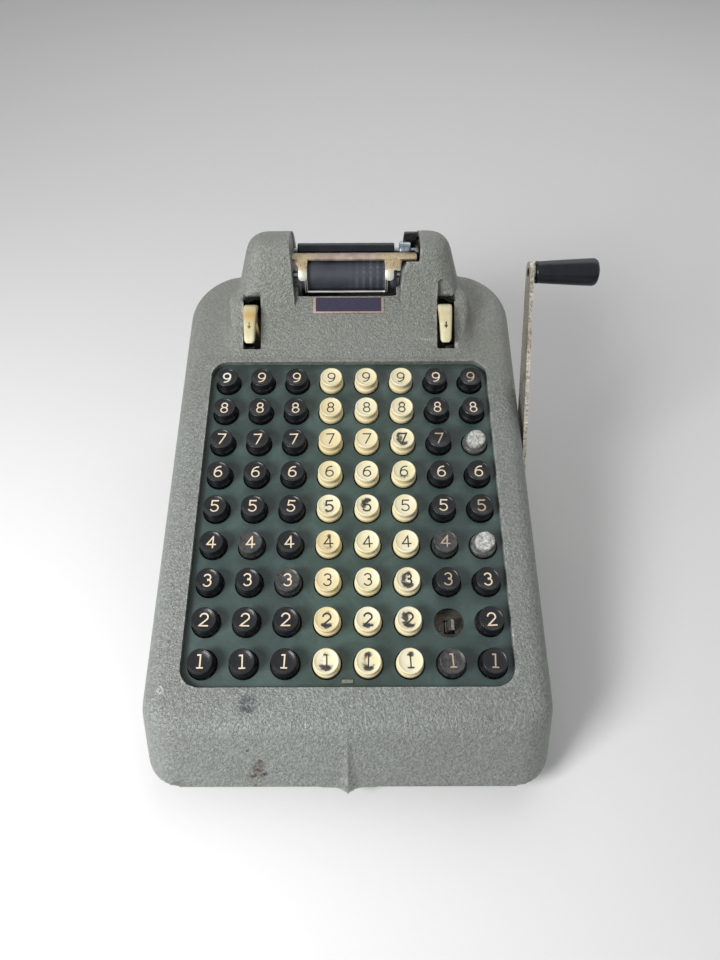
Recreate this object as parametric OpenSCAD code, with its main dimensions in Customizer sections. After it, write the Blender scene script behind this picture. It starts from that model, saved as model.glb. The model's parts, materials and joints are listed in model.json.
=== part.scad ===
// Hand-cranked printing adding machine with a full keyboard.
// X runs across the keyboard, Y from the front edge to the rear and Z up from the table.
// Dimensions are in millimetres and angles in degrees.
// In side views angles are measured from the rearward direction, rising towards the top.

/* [Case] */
// Width of the case across its sides
body_w = 187; // [184:1:198]
// Height of the case's bottom edge above the table
foot_h = 11; // [8:0.5:12]
// Thickness of the cast walls
wall = 3.2; // [2.4:0.2:4]
// Radius of the front corners in plan
front_r = 18; // [15:1:22]
// Radius of the rear corners in plan
rear_r = 33; // [28:1:38]
// Radius of the rounded upper edges
edge_r = 10; // [7:0.5:12]
// Lean of the front face back from upright
front_lean = 24.5; // [18:0.5:28]
// Distance from the front bottom edge back to the keyboard opening
apron = 32.7; // [31:0.1:40]
// Height of the key plate at the front of its opening
plate_front_z = 43.5; // [42:0.5:50]
// Lean of the rear wall over its height
rear_lean = 3; // [1:0.5:5]
// Height that the keel on the front face stands proud at the bottom
keel_h = 2.5; // [1.5:0.5:4]
// Width of the keel at the bottom
keel_w = 18; // [12:1:24]

/* [Keyboard] */
// Slope of the keyboard
tilt = 15.6; // [14:0.2:17]
// Distance between key columns
col_pitch = 19.05; // [18.6:0.05:19.4]
// Distance between key rows along the slope
row_pitch = 19.3; // [18.8:0.1:19.8]
// Opening beside the outer columns, measured from their centre
side_margin = 9.5; // [8.5:0.1:10]
// Opening in front of the first row, measured from its centre
front_margin = 10.6; // [9:0.1:12]
// Opening behind the last row, measured from its centre
back_margin = 12.9; // [10:0.1:15]
// Corner radius of the opening
opening_r = 9; // [5:0.5:9]
// Thickness of the key plate
plate_t = 1.6; // [1.2:0.1:2]
// Diameter of the holes for the keys
key_hole_d = 14.2; // [13.6:0.1:14.8]
// Clearance around a key cap in its hole
cap_gap = 0.6; // [0.4:0.05:0.8]
// Height of a key cap above the plate
cap_h = 7.3; // [6.5:0.1:8.5]
// Depth of the dish in the top of a cap
dish_depth = 0.9; // [0.4:0.1:1.4]
// Travel of a key
key_travel = 4.5; // [3:0.5:5]
// Width of a key stem along the slope
stem_w = 5; // [4:0.2:6]
// Thickness of a key stem across the slope
stem_t = 1.6; // [1.2:0.1:2]

/* [Hood] */
// Width of the hood where it meets the deck
hood_w = 138; // [133:1:140]
// Width of the hood at its top
hood_top_w = 115; // [112:1:118]
// Height of the towers' top
hood_top_z = 145.5; // [144:0.5:150]
// Depth of the hood from its front crease to the rear wall
hood_d = 69; // [66:1:73]
// Slope of the panel below the printing window
panel_tilt = 38; // [36:1:40]
// Horizontal run of that panel up to the window's lip
panel_run = 28; // [26:0.5:30]
// Lean of the towers' fronts back from upright
tower_lean = 23.4; // [20:0.2:25]
// Width of the gap between the towers
tower_gap = 61; // [59:0.5:63]
// Width of the window between the towers
window_w = 57; // [55:0.5:58]
// Corner radius of the towers in plan
tower_r = 12; // [11.5:0.5:14]
// Radius of the towers' upper edges
tower_edge_r = 11; // [9:0.5:11]
// Distance of the levers' axis behind the hood's front crease
lever_back = 32; // [31:0.5:33]
// Depth of the levers' axis below that crease
lever_drop = 18.4; // [17.8:0.1:19]
// Radius of the levers' finger pieces about their axis
lever_r = 39.8; // [39.4:0.1:40.4]
// Width of a lever
lever_w = 7.2; // [6:0.2:8]
// Width of a lever slot
slot_w = 9.8; // [9:0.2:11]
// Distance of a lever slot from the centre plane
slot_x = 54.6; // [54:0.2:55.6]

/* [Printing] */
// Diameter of the platen's rubber
platen_d = 18; // [17:0.5:19]
// Length of the platen's rubber
platen_len = 54; // [52:0.5:54.5]
// Diameter of the platen's shaft
platen_shaft_d = 4; // [3.5:0.1:5]
// Horizontal distance of the platen's axis behind the window's lip
platen_back = 12; // [11.5:0.1:13]
// Depth of the platen's axis below the towers' top
platen_drop = 22.2; // [21.5:0.1:23]
// Thickness of the paper guide's sheet
guide_t = 1; // [0.8:0.1:1.2]
// Width of the guide's end arms
guide_arm_w = 5.5; // [4.5:0.5:6.5]
// Diameter of the wire in front of the platen
wire_d = 1.2; // [1:0.1:1.6]
// Diameter of the black spindle behind the platen
spindle_d = 8.4; // [7:0.2:9]
// Distance of the spindle's axis behind the platen's axis
spindle_back = 16; // [15.5:0.1:17]
// Height of the spindle's axis above the platen's axis
spindle_up = 5.7; // [5:0.1:7]
// Diameter of the steel rod through the spindle
spindle_rod_d = 3; // [2.4:0.1:3.4]
// Diameter of the spindle's steel end knob
knob_d = 10; // [9:0.5:11]

/* [Crank] */
// Distance of the crank's shaft behind the front edge
crank_y = 146; // [142:1:150]
// Height of the crank's shaft
crank_z = 33; // [31:1:35]
// Length of the crank between its shaft and its grip
crank_len = 130; // [120:1:140]
// Angle of the crank at rest
crank_rest = 56.3; // [50:0.1:60]
// Thickness of the crank's steel arm
arm_t = 3; // [2.5:0.25:4]
// Width of the arm at its grip
arm_tip_w = 11; // [9:0.5:13]
// Width of the arm at its shaft
arm_hub_w = 20; // [18:0.5:24]
// Gap between the case and the arm
arm_gap = 1.25; // [1.25:0.25:4]
// Diameter of the main shaft
main_d = 10; // [8:0.5:11]
// Length of the grip
grip_len = 32.5; // [28:0.5:40]
// Diameter of the grip beside the arm
grip_d = 11.5; // [10:0.5:12.5]
// Diameter of the grip at its outer end
grip_end_d = 14.2; // [13:0.2:16]
// Diameter of the pin in the grip
grip_pin_d = 4.5; // [4:0.25:5]

/* [Mechanism] */
// Thickness of the steel side frames
frame_t = 2; // [1.6:0.2:3]
// Thickness of the base plate
base_t = 1.6; // [1.2:0.2:2]
// Depth of the lower key guide below the key plate
guide_depth = 20; // [19:0.5:21]
// Thickness of the lower key guide
guide_plate_t = 1.5; // [1:0.1:2]
// Thickness of a rack
rack_t = 1.2; // [1:0.1:1.6]
// Height of a rack
rack_h = 5; // [4.5:0.5:6]
// Travel of the racks
rack_travel = 18; // [14:1:20]
// Diameter of the cross rods, the lever shaft and the type shaft
rod_d = 6; // [5:0.5:7]
// Distance between the type bars
type_pitch = 5; // [4:0.1:5.4]
// Depth of the type bars' shaft below the platen's axis
type_drop = 55; // [54:0.5:57]
// Length of a type bar from its shaft
type_len = 40; // [38:0.5:41]
// Radial clearance of a shaft in its bearing
run_gap = 0.05; // [0.02:0.01:0.08]
// Diameter of a rubber foot
foot_d = 18; // [14:1:20]
// Diameter of a foot screw
screw_d = 4; // [3:0.5:5]
// Diameter of the pins of the ribbon spools
spool_pin_d = 3; // [2.4:0.2:3.4]
// Diameter of a ribbon spool
spool_d = 22; // [18:1:23]

/* [Hidden] */
form_fn = 40;
round_fn = 48;
fit_gap = 0.2;
columns = 8;
rows = 9;
cream_columns = [4, 5, 6];
missing_key = [7, 2];
broken_keys = [[8, 4], [8, 7]];

plate_black = "#1d1e20";
case_grey = "#8a8b86";
plate_green = "#33493f";
cream = "#e6dcb6";
steel = "#b4b5b3";
dark_steel = "#6c6d6c";
tan_metal = "#b39b76";
rubber_black = "#23272b";
bronze = "#9c7b45";

// Side view of the keyboard: its slope, the deck above it and the front face below it
deck_rise = wall + fit_gap;
kb_len = (rows - 1) * row_pitch + front_margin + back_margin;
kb_w = (columns - 1) * col_pitch + 2 * side_margin;
deck_0 = plate_front_z - apron * tan(tilt) + deck_rise / cos(tilt);
function deck_z(y) = deck_0 + y * tan(tilt);
function on_slope(s, n) = [apron, plate_front_z] + polar(s, tilt) + polar(n, tilt + 90);
bend_y = (deck_0 - foot_h) / (tan(90 - front_lean) - tan(tilt));
bend = [bend_y, deck_z(bend_y)];
bend_turn = (90 - front_lean - tilt) / 2;
bend_dir = 90 + tilt + bend_turn;
front_c = bend - polar(edge_r / cos(bend_turn), bend_dir);

// Side view of the hood: the crease, the window's lip and the front of the towers
crease_y = apron + kb_len * cos(tilt) + 2;
crease = [crease_y, deck_z(crease_y)];
body_d = crease_y + hood_d;
lip = crease + panel_run * [1, tan(panel_tilt)];
tower_foot = crease + (panel_run - 5) * [1, tan(panel_tilt)];
function tower_front(z) = tower_foot[0] + (z - tower_foot[1]) * tan(tower_lean);
tower_base_z = crease[1] - 16;
tower_rear_drop = 4.5;
rear_c = [body_d - rear_lean - edge_r, deck_z(body_d - rear_lean - edge_r) - edge_r / cos(tilt)];
window_back = spindle_back + platen_back - 5;

// Axes of the moving pieces in side view
platen_c = [lip[0] + platen_back, hood_top_z - platen_drop];
spindle_c = platen_c + [spindle_back, spindle_up];
crank_c = [crank_y, crank_z];
grip_c = crank_c + polar(crank_len, crank_rest);
lever_c = crease + [lever_back, -lever_drop];
type_c = [platen_c[0] - 1, platen_c[1] - type_drop];
adder_c = [crease_y - rod_d, crank_z + 1.3 * main_d];
spool_c = platen_c + platen_d * [1 / 3, -7 / 9];

// Across the machine
side_x = body_w / 2;
frame_x = kb_w / 2 + 5;
frame_out = frame_x + frame_t;
arm_x = side_x + arm_gap;
grip_x = arm_x + arm_t + 0.5;
gap_x = tower_gap / 2;
tower_wall_x = gap_x + wall;
knob_x = [gap_x - 2.3, gap_x + 3.9];
notch_x = gap_x + 8;
knob_cut = knob_d / 2 + 0.6;
notch_y = [platen_c[0] - 7.2, spindle_c[0] + knob_cut];
bracket_t = 1.5;
rod_slot_w = spindle_rod_d + 0.8;
spool_x = [notch_x + bracket_t + 1, slot_x - lever_w / 2 - 1];

// The keel's flanks are arcs that meet the face flat and each other at the ridge
keel_len = bend[0] / sin(front_lean);
keel_dive = atan(keel_h / keel_len);
keel_flank_r = (pow(keel_w / 2, 2) + pow(keel_h, 2)) / 2 / keel_h;
keel_flank = asin(keel_w / 2 / keel_flank_r);
keel_y = -keel_h / cos(front_lean + keel_dive);

// Guide, combs and racks below the key plate, as depths below the plate's top
stem_depth = guide_depth + guide_plate_t + 2.5;
rack_top = stem_depth + 1.5;
rack_side = stem_t / 2 + rack_t / 2 + 1.6;
comb_t = 3;
comb_s = [front_margin + row_pitch + 6, front_margin + 8 * row_pitch + stem_w / 2 + 1.2];
rack_front = comb_s[0] - rack_travel - 2;
rack_rear = comb_s[1] + comb_t + 2;

// Side frames stay inside the case's rounded rear corners
rear_in_r = rear_r - wall;
rear_dx = max(0, frame_out - (side_x - rear_r));
frame_rear = body_d - rear_r + sqrt(pow(rear_in_r, 2) - pow(rear_dx, 2)) - 2.5;
frame_front = front_r + rod_d;
base_top = foot_h + base_t;
front_foot = [side_x - front_r, front_r + 1];
rear_foot = [side_x - 25, body_d - 17.5];
boss_d = screw_d + 6;
bush_d = main_d + 6;
thread_d = 6;
nut_h = 2;
adder_d = 5;
cap_r = key_hole_d / 2 - cap_gap;
guide_r = platen_d / 2 + 1.5;
rod_places = [
    [frame_front + 1.5 * rod_d, base_top + 1.2 * rod_d], [0.7 * crank_y, base_top + 1.6 * rod_d],
    [type_c[0], base_top + 2.3 * rod_d]
];

// The bounding box's centre sits over the origin
grip_dome = 1;
reach_x = grip_x + grip_len + grip_dome;
centre = [(reach_x - side_x) / 2, (body_d + keel_y) / 2];

function polar(r, a) = r * [cos(a), sin(a)];
function arc(c, r, a0, a1, n = 6) = [for (i = [0:n]) c + polar(r, a0 + (a1 - a0) * i / n)];
function column_x(c) = (c - (columns + 1) / 2) * col_pitch;
function row_s(r) = front_margin + (r - 1) * row_pitch;

module centred() {
    translate([-centre[0], -centre[1], 0]) children();
}

// Places a side view, drawn as rearward and upward, between two stations across the machine
module across(x0, x1) {
    translate([x0, 0, 0]) rotate([90, 0, 90]) linear_extrude(x1 - x0) children();
}

// A round bar across the machine at a point of the side view
module bar(c, d, x0, x1) {
    translate([x0, c[0], c[1]]) rotate([0, 90, 0]) cylinder(d = d, h = x1 - x0, $fn = round_fn);
}

// The keyboard's own frame: across, up the slope, and out of the plate
module sloped() {
    translate([0, apron, plate_front_z]) rotate([tilt, 0, 0]) children();
}

module rounded_rect(w, y0, y1, r) {
    translate([-w / 2 + r, y0]) square([w - 2 * r, y1 - y0]);
    translate([-w / 2, y0 + r]) square([w, y1 - y0 - 2 * r]);
    for (side = [-1, 1], y = [y0 + r, y1 - r])
        translate([side * (w / 2 - r), y]) circle(r, $fn = round_fn);
}

// A disc with a rounded upper edge, its top at zero
module pad(r, e) {
    rotate_extrude($fn = form_fn)
        polygon(concat([[0, 0]], arc([r - e, -e], e, 90, 0, 5), [[r, -e - 1], [0, -e - 1]]));
}

// Outer form of the case's body, or the same form drawn in by a wall
module body_form(inset) {
    skirt_z = inset > 0 ? foot_h - 2 : foot_h;
    front_pad = front_c + polar(front_r - edge_r, tilt);
    rear_pad = rear_c - polar(rear_r - edge_r, tilt);
    hull() for (side = [-1, 1]) {
        translate([side * (side_x - front_r), front_r, skirt_z])
            cylinder(r = front_r - inset, h = 1, $fn = form_fn);
        translate([side * (side_x - rear_r), body_d - rear_r, skirt_z])
            cylinder(r = rear_r - inset, h = 1, $fn = form_fn);
        translate([side * (side_x - front_r), front_pad[0], front_pad[1]]) rotate([tilt, 0, 0])
            translate([0, 0, edge_r - inset]) pad(front_r - inset, edge_r - inset);
        translate([side * (side_x - rear_r), rear_pad[0], rear_pad[1]]) rotate([tilt, 0, 0])
            translate([0, 0, edge_r - inset]) pad(rear_r - inset, edge_r - inset);
    }
}

// Both towers as one tapered block, before the gap is cut
module tower_form(inset) {
    top_x = hood_top_w / 2 - tower_r;
    spread = (hood_w - hood_top_w) / 2 / (hood_top_z - tower_edge_r - crease[1]);
    base_x = top_x + spread * (hood_top_z - tower_edge_r - tower_base_z);
    r = tower_r - inset;
    hull() for (side = [-1, 1]) {
        translate([side * base_x, tower_front(tower_base_z) + tower_r, tower_base_z])
            cylinder(r = r, h = 1, $fn = form_fn);
        translate([side * base_x, body_d - rear_lean - tower_r - 0.4, tower_base_z])
            cylinder(r = r, h = 1, $fn = form_fn);
        translate([side * top_x, tower_front(hood_top_z - tower_edge_r) + tower_r, hood_top_z - inset])
            pad(r, tower_edge_r - inset);
        translate([side * top_x, body_d - rear_lean - tower_r - 1, hood_top_z - tower_rear_drop - inset])
            pad(r, tower_edge_r - inset);
    }
}

// Sloping panel that rises from the deck to the window's lip
module panel_form(inset) {
    panel_r = 12;
    panel_e = 5;
    run = panel_run / cos(panel_tilt);
    translate([0, crease[0], crease[1]]) rotate([panel_tilt, 0, 0])
        hull() for (side = [-1, 1], s = [panel_r - 4, run + 8 - panel_r])
            translate([side * (hood_w / 2 - panel_r), s, -inset]) {
                pad(panel_r - inset, panel_e - inset);
                translate([0, 0, -28 + inset]) cylinder(r = panel_r - inset, h = 1, $fn = form_fn);
            }
}

// Wedge swept by a lever, opened through the hood's front
module lever_slot(side) {
    across(side * slot_x - slot_w / 2, side * slot_x + slot_w / 2)
        polygon(concat(arc(lever_c, 24, 143, 98, 1), arc(lever_c, 62, 98, 143, 4)));
}

// Opening in the right tower for the spindle's knob and the end of the paper guide
module notch() {
    floor_z = platen_c[1] + guide_r - 2.8;
    across(gap_x - 1, notch_x) {
        translate([notch_y[0], floor_z]) square([notch_y[1] - notch_y[0], hood_top_z]);
        translate([spindle_c[0] - knob_cut - 1, spindle_c[1] - knob_cut])
            square([2 * knob_cut + 1, 2 * knob_cut]);
    }
}

// Ridge on the front face, with hollow flanks, that dies out at the deck
module keel() {
    outline = concat(
        [[-keel_w / 2, 1]],
        arc([-keel_w / 2, -keel_flank_r], keel_flank_r, 90, 90 - keel_flank, 5),
        arc([keel_w / 2, -keel_flank_r], keel_flank_r, 90 + keel_flank, 90, 5),
        [[keel_w / 2, 1]]
    );
    intersection() {
        translate([0, 0, foot_h]) rotate([-front_lean - keel_dive, 0, 0]) translate([0, 0, -6])
            linear_extrude(keel_len + 6) polygon(outline);
        translate([-keel_w, -2 * keel_h, foot_h]) cube([2 * keel_w, bend[0] + 3 * keel_h, keel_len]);
    }
}

module screw_bosses() {
    intersection() {
        at_feet() translate([0, 0, base_top]) cylinder(d = boss_d, h = 120, $fn = round_fn);
        body_form(wall / 2);
    }
}

module case() {
    centred() color(case_grey) difference() {
        union() {
            difference() {
                union() {
                    body_form(0);
                    panel_form(0);
                    difference() {
                        tower_form(0);
                        translate([-gap_x, 0, 0]) cube([tower_gap, 2 * body_d, 2 * hood_top_z]);
                    }
                    keel();
                }
                body_form(wall);
                panel_form(wall);
                difference() {
                    tower_form(wall);
                    translate([-tower_wall_x, 0, 0]) cube([2 * tower_wall_x, 2 * body_d, 2 * hood_top_z]);
                }
            }
            screw_bosses();
        }
        sloped() translate([0, 0, -8]) linear_extrude(20) rounded_rect(kb_w, 0, kb_len, opening_r);
        translate([-window_w / 2, lip[0], tower_base_z]) cube([window_w, window_back, 80]);
        lever_slot(-1);
        lever_slot(1);
        notch();
        translate([-tower_wall_x - 1, spindle_c[0] - rod_slot_w / 2, spindle_c[1] - rod_slot_w / 2])
            cube([wall + 2, rod_slot_w, 40]);
        bar(platen_c, platen_shaft_d + 2 * run_gap, -tower_wall_x - 1, tower_wall_x + 1);
        for (side = [-1, 1]) {
            pin_x = side * (gap_x + wall / 2);
            bar(spool_c, spool_pin_d + 2 * run_gap, pin_x - wall, pin_x + wall);
        }
        at_feet() translate([0, 0, foot_h]) cylinder(d = screw_d, h = base_t + 14, $fn = round_fn);
        bar(crank_c, bush_d, frame_out + 1, side_x + 1);
    }
}

module base_plate() {
    centred() color(dark_steel) translate([0, 0, foot_h]) linear_extrude(base_t) difference() {
        polygon(plan(wall + 2.2));
        at_feet() circle(d = screw_d + 0.4, $fn = round_fn);
    }
}

// Outline of the case in plan, drawn in from the outside
function plan_half(inset) = concat(
    arc([side_x - front_r, front_r], front_r - inset, 270, 360, 8),
    arc([side_x - rear_r, body_d - rear_r], rear_r - inset, 0, 90, 10)
);
function plan(inset) = concat(
    plan_half(inset),
    [for (i = [len(plan_half(inset)) - 1:-1:0]) [-plan_half(inset)[i][0], plan_half(inset)[i][1]]]
);

module at_feet() {
    for (side = [-1, 1], foot = [front_foot, rear_foot])
        translate([side * foot[0], foot[1], 0]) children();
}

module rubber_feet() {
    centred() color(rubber_black) at_feet() difference() {
        cylinder(d1 = foot_d - 2, d2 = foot_d, h = foot_h, $fn = round_fn);
        translate([0, 0, -1]) cylinder(d = screw_d + 0.4, h = foot_h + 2, $fn = round_fn);
        translate([0, 0, -1]) cylinder(d = 2 * screw_d + 1, h = foot_h / 2 + 1, $fn = round_fn);
    }
}

module foot_screws() {
    head_h = 0.6 * screw_d;
    centred() color(steel) at_feet() translate([0, 0, foot_h / 2]) {
        translate([0, 0, -head_h]) difference() {
            cylinder(d = 2 * screw_d, h = head_h, $fn = round_fn);
            translate([-screw_d, -0.5, -1]) cube([2 * screw_d, 1, 1.8]);
        }
        cylinder(d = screw_d, h = foot_h / 2 + base_t + 12, $fn = round_fn);
    }
}

module at_keys() {
    for (c = [1:columns], r = [1:rows]) translate([column_x(c), row_s(r)]) children();
}

module key_plate() {
    centred() color(plate_green) sloped() translate([0, 0, -plate_t]) linear_extrude(plate_t) difference() {
        rounded_rect(2 * (frame_x + 1), -4, kb_len + 4, 6);
        at_keys() circle(d = key_hole_d, $fn = round_fn);
    }
}

module key_guide() {
    slot_t = stem_t + 2 * fit_gap;
    slot_l = stem_w + 2 * fit_gap;
    centred() color(dark_steel) sloped() translate([0, 0, -guide_depth - guide_plate_t])
        linear_extrude(guide_plate_t) difference() {
            translate([-frame_x, 0]) square([2 * frame_x, kb_len]);
            at_keys() translate([-slot_t / 2, -slot_l / 2]) square([slot_t, slot_l]);
        }
}

// Steel plate that carries the key plate on its sloping edge and every shaft in its bores
module side_frame(side) {
    front_top = on_slope(-3, -plate_t);
    rear_top = on_slope(kb_len + 3, -plate_t);
    shoulder_z = lever_c[1] + rod_d / 2 + 5;
    x0 = side > 0 ? frame_x : -frame_out;
    centred() color(steel) across(x0, x0 + frame_t) difference() {
        polygon([
            [frame_front, base_top], [frame_rear, base_top], [frame_rear, shoulder_z - 6],
            [frame_rear - 6, shoulder_z], [rear_top[0], shoulder_z], rear_top, front_top,
            [frame_front, front_top[1] - 6]
        ]);
        for (c = rod_places) translate(c) circle(d = rod_d, $fn = round_fn);
        translate(lever_c) circle(d = rod_d, $fn = round_fn);
        translate(type_c) circle(d = rod_d, $fn = round_fn);
        translate(crank_c) circle(d = main_d + 2 * run_gap, $fn = round_fn);
        translate(adder_c) circle(d = adder_d + 2 * run_gap, $fn = round_fn);
    }
}

module side_frame_left() { side_frame(-1); }
module side_frame_right() { side_frame(1); }

module cross_rods() {
    centred() color(steel) for (c = rod_places) bar(c, rod_d, -frame_out, frame_out);
}

module rack_combs() {
    comb_low = -rack_top - rack_h - 3;
    centred() color(steel) sloped() for (s = comb_s) difference() {
        translate([-frame_x, s, comb_low]) cube([2 * frame_x, comb_t, rack_h + 4]);
        for (c = [1:columns])
            translate([column_x(c) + rack_side - rack_t / 2 - fit_gap, s - 1, -rack_top - rack_h - fit_gap])
                cube([rack_t + 2 * fit_gap, comb_t + 2, rack_h + 4]);
    }
}

// Two stub shafts, one at each side, for the levers
module lever_shaft() {
    inner_x = slot_x - slot_w / 2;
    centred() color(steel) {
        bar(lever_c, rod_d, -frame_out, -inner_x);
        bar(lever_c, rod_d, inner_x, frame_out);
    }
}

module type_shaft() {
    centred() color(steel) bar(type_c, rod_d, -frame_out, frame_out);
}

module crank_bushing() {
    centred() color(bronze) difference() {
        union() {
            bar(crank_c, bush_d, side_x - wall - 1, side_x + 1);
            bar(crank_c, bush_d + 4, side_x, side_x + 1);
        }
        bar(crank_c, main_d + 2 * run_gap, side_x - wall - 2, side_x + 2);
    }
}

// Flat link between two rounded ends in side view
module link(c0, r0, c1, r1) {
    a = atan2(c1[1] - c0[1], c1[0] - c0[0]);
    polygon(concat(arc(c0, r0, a + 90, a + 270, 12), arc(c1, r1, a - 90, a + 90, 12)));
}

// Sheet-metal guide: a band over the platen that ends in the notch, with an arm round each end
module paper_guide() {
    flange = platen_c + [guide_r, guide_r - 1.4];
    centred() color(tan_metal) {
        across(-gap_x, notch_x - 1) polygon(concat(
            arc(platen_c, guide_r + guide_t, 100, 70, 4), [flange, flange - [0, guide_t]],
            arc(platen_c, guide_r, 70, 100, 4)
        ));
        for (side = [-1, 1]) {
            x0 = side > 0 ? window_w / 2 - guide_arm_w - 0.5 : -window_w / 2 + 0.5;
            across(x0, x0 + guide_arm_w) polygon(concat(
                arc(platen_c, guide_r + guide_t, 208, 92, 10), arc(platen_c, guide_r, 92, 208, 10)
            ));
        }
    }
}

module guide_wire() {
    reach = window_w / 2 - guide_arm_w + 1.5;
    c = platen_c + polar(guide_r - wire_d / 2 - 0.1, 204);
    centred() color(steel) bar(c, wire_d, -reach, reach);
}

module spindle_brackets() {
    plate = [[-6, -8], [2.1, -8], [2.1, 0.9], [1.1, 2.2], [-6, 2.2]];
    centred() color(steel) difference() {
        union() {
            across(-tower_wall_x - bracket_t, -tower_wall_x) polygon([for (p = plate) spindle_c + p]);
            across(notch_x, notch_x + bracket_t) polygon([for (p = plate) spindle_c + p]);
            across(tower_wall_x, notch_x + bracket_t) polygon([
                for (p = [[-6, -8], [2.1, -8], [2.1, -6.2], [-6, -6.2]]) spindle_c + p
            ]);
        }
        bar(spindle_c, spindle_rod_d + 2 * run_gap, -side_x, side_x);
    }
}

module main_shaft() {
    centred() color(steel) {
        bar(crank_c, main_d, -frame_out - 2, arm_x + arm_t);
        bar(crank_c, thread_d, arm_x + arm_t, arm_x + arm_t + nut_h + 0.5);
    }
}

module drive_arms() {
    tip = crank_c + polar(17, -25);
    arm_in = frame_x - 7;
    centred() color(dark_steel) for (x0 = [-arm_in, arm_in - 3]) across(x0, x0 + 3) difference() {
        link(crank_c, main_d / 2 + 3.5, tip, 4);
        translate(crank_c) circle(d = main_d, $fn = round_fn);
        translate(tip) circle(d = 3, $fn = round_fn);
    }
}

module crank_arm() {
    centred() color(steel) across(arm_x, arm_x + arm_t) difference() {
        link(crank_c, arm_hub_w / 2, grip_c, arm_tip_w / 2);
        translate(crank_c) circle(d = main_d, $fn = round_fn);
        translate(grip_c) circle(d = grip_pin_d, $fn = round_fn);
    }
}

module crank_nut() {
    centred() color(steel) translate([arm_x + arm_t, crank_c[0], crank_c[1]]) rotate([0, 90, 0])
        difference() {
            cylinder(d = main_d + 6, h = nut_h, $fn = 6);
            translate([0, 0, -1]) cylinder(d = thread_d, h = nut_h + 2, $fn = round_fn);
        }
}

module grip_pin() {
    head_r = grip_pin_d / 2 + 1.8;
    centred() color(steel) {
        bar(grip_c, grip_pin_d, arm_x, grip_x + grip_len);
        translate([grip_x + grip_len, grip_c[0], grip_c[1]]) rotate([0, 90, 0])
            rotate_extrude($fn = round_fn) polygon([
                [0, 0], [head_r, 0], [head_r - 0.5, 0.6 * grip_dome], [head_r - 1.6, grip_dome],
                [0, grip_dome]
            ]);
    }
}

module crank_grip() {
    bore = grip_pin_d / 2 + run_gap;
    r0 = grip_d / 2;
    r1 = grip_end_d / 2;
    centred() color(plate_black) translate([grip_x, grip_c[0], grip_c[1]]) rotate([0, 90, 0])
        rotate_extrude($fn = round_fn) polygon(concat(
            [[bore, 0], [r0 - 1, 0], [r0, 1]],
            arc([r1 - 2, grip_len - 2.2], 2, 0, 90, 4),
            [[bore, grip_len - 0.2]]
        ));
}

// One rack for each column, with a stop lug behind every key
module rack_bank() {
    centred() color(steel) sloped() for (c = [1:columns])
        translate([column_x(c) + rack_side - rack_t / 2, 0, 0]) rotate([90, 0, 90]) linear_extrude(rack_t) {
            translate([rack_front, -rack_top - rack_h]) square([rack_rear - rack_front, rack_h]);
            for (r = [2:rows - 1]) translate([row_s(r) - 9, -rack_top - 1]) square([2, 2.2]);
        }
}

module type_bars() {
    tip = type_c + polar(type_len, 112);
    centred() color(steel) for (i = [0:columns - 1]) {
        x = (i - (columns - 1) / 2) * type_pitch;
        across(x - 0.8, x + 0.8) difference() {
            link(type_c, rod_d / 2 + 2, tip, 2.3);
            translate(type_c) circle(d = rod_d + 2 * run_gap, $fn = round_fn);
        }
    }
}

module adder_shaft() {
    centred() color(steel) bar(adder_c, adder_d, -frame_out, frame_out);
}

// Ten-toothed number wheels
module adder_gears() {
    teeth = 10;
    step = 360 / teeth;
    outline = [for (i = [0:teeth - 1], p = [[5.6, -0.3], [8, -0.14], [8, 0.14], [5.6, 0.3]])
        polar(p[0], (i + p[1]) * step)];
    centred() color(bronze) for (i = [0:columns]) {
        x = (i - columns / 2) * col_pitch;
        across(x - 2, x + 2) translate(adder_c) difference() {
            polygon(outline);
            circle(d = adder_d, $fn = round_fn);
        }
    }
}

module platen_rubber() {
    centred() color(rubber_black) difference() {
        bar(platen_c, platen_d, -platen_len / 2, platen_len / 2);
        bar(platen_c, platen_shaft_d, -side_x, side_x);
    }
}

module platen_shaft() {
    centred() color(steel) bar(platen_c, platen_shaft_d, -tower_wall_x - 1.5, tower_wall_x + 3);
}

module platen_ratchet() {
    teeth = 12;
    step = 360 / teeth;
    outline = [for (i = [0:teeth - 1], p = [[4.6, 0.05], [6, 0.9]]) polar(p[0], (i + p[1]) * step)];
    centred() color(dark_steel) across(tower_wall_x + 0.6, tower_wall_x + 2.6) translate(platen_c)
        difference() {
            polygon(outline);
            circle(d = platen_shaft_d, $fn = round_fn);
        }
}

module spindle_core() {
    centred() color(plate_black) difference() {
        bar(spindle_c, spindle_d, -gap_x + 1.5, knob_x[0] - 2.6);
        bar(spindle_c, spindle_rod_d, -side_x, side_x);
    }
}

module spindle_rod() {
    centred() color(steel) bar(spindle_c, spindle_rod_d, -tower_wall_x - bracket_t, notch_x + bracket_t);
}

module spindle_knob() {
    centred() color(steel) difference() {
        bar(spindle_c, knob_d, knob_x[0], knob_x[1]);
        bar(spindle_c, spindle_rod_d, -side_x, side_x);
    }
}

// Flanged spool with its wound ribbon, on a pin in the tower's inner wall
module ribbon_spool(side) {
    module part_x(d, x0, x1) {
        bar(spool_c, d, side > 0 ? x0 : -x1, side > 0 ? x1 : -x0);
    }
    centred() color(dark_steel) {
        part_x(spool_pin_d, gap_x + 0.6, spool_x[0]);
        part_x(spool_d, spool_x[0], spool_x[0] + 0.8);
        part_x(spool_d - 5, spool_x[0] + 0.8, spool_x[1] - 0.8);
        part_x(spool_d, spool_x[1] - 0.8, spool_x[1]);
    }
}

module ribbon_spool_left() { ribbon_spool(-1); }
module ribbon_spool_right() { ribbon_spool(1); }

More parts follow.
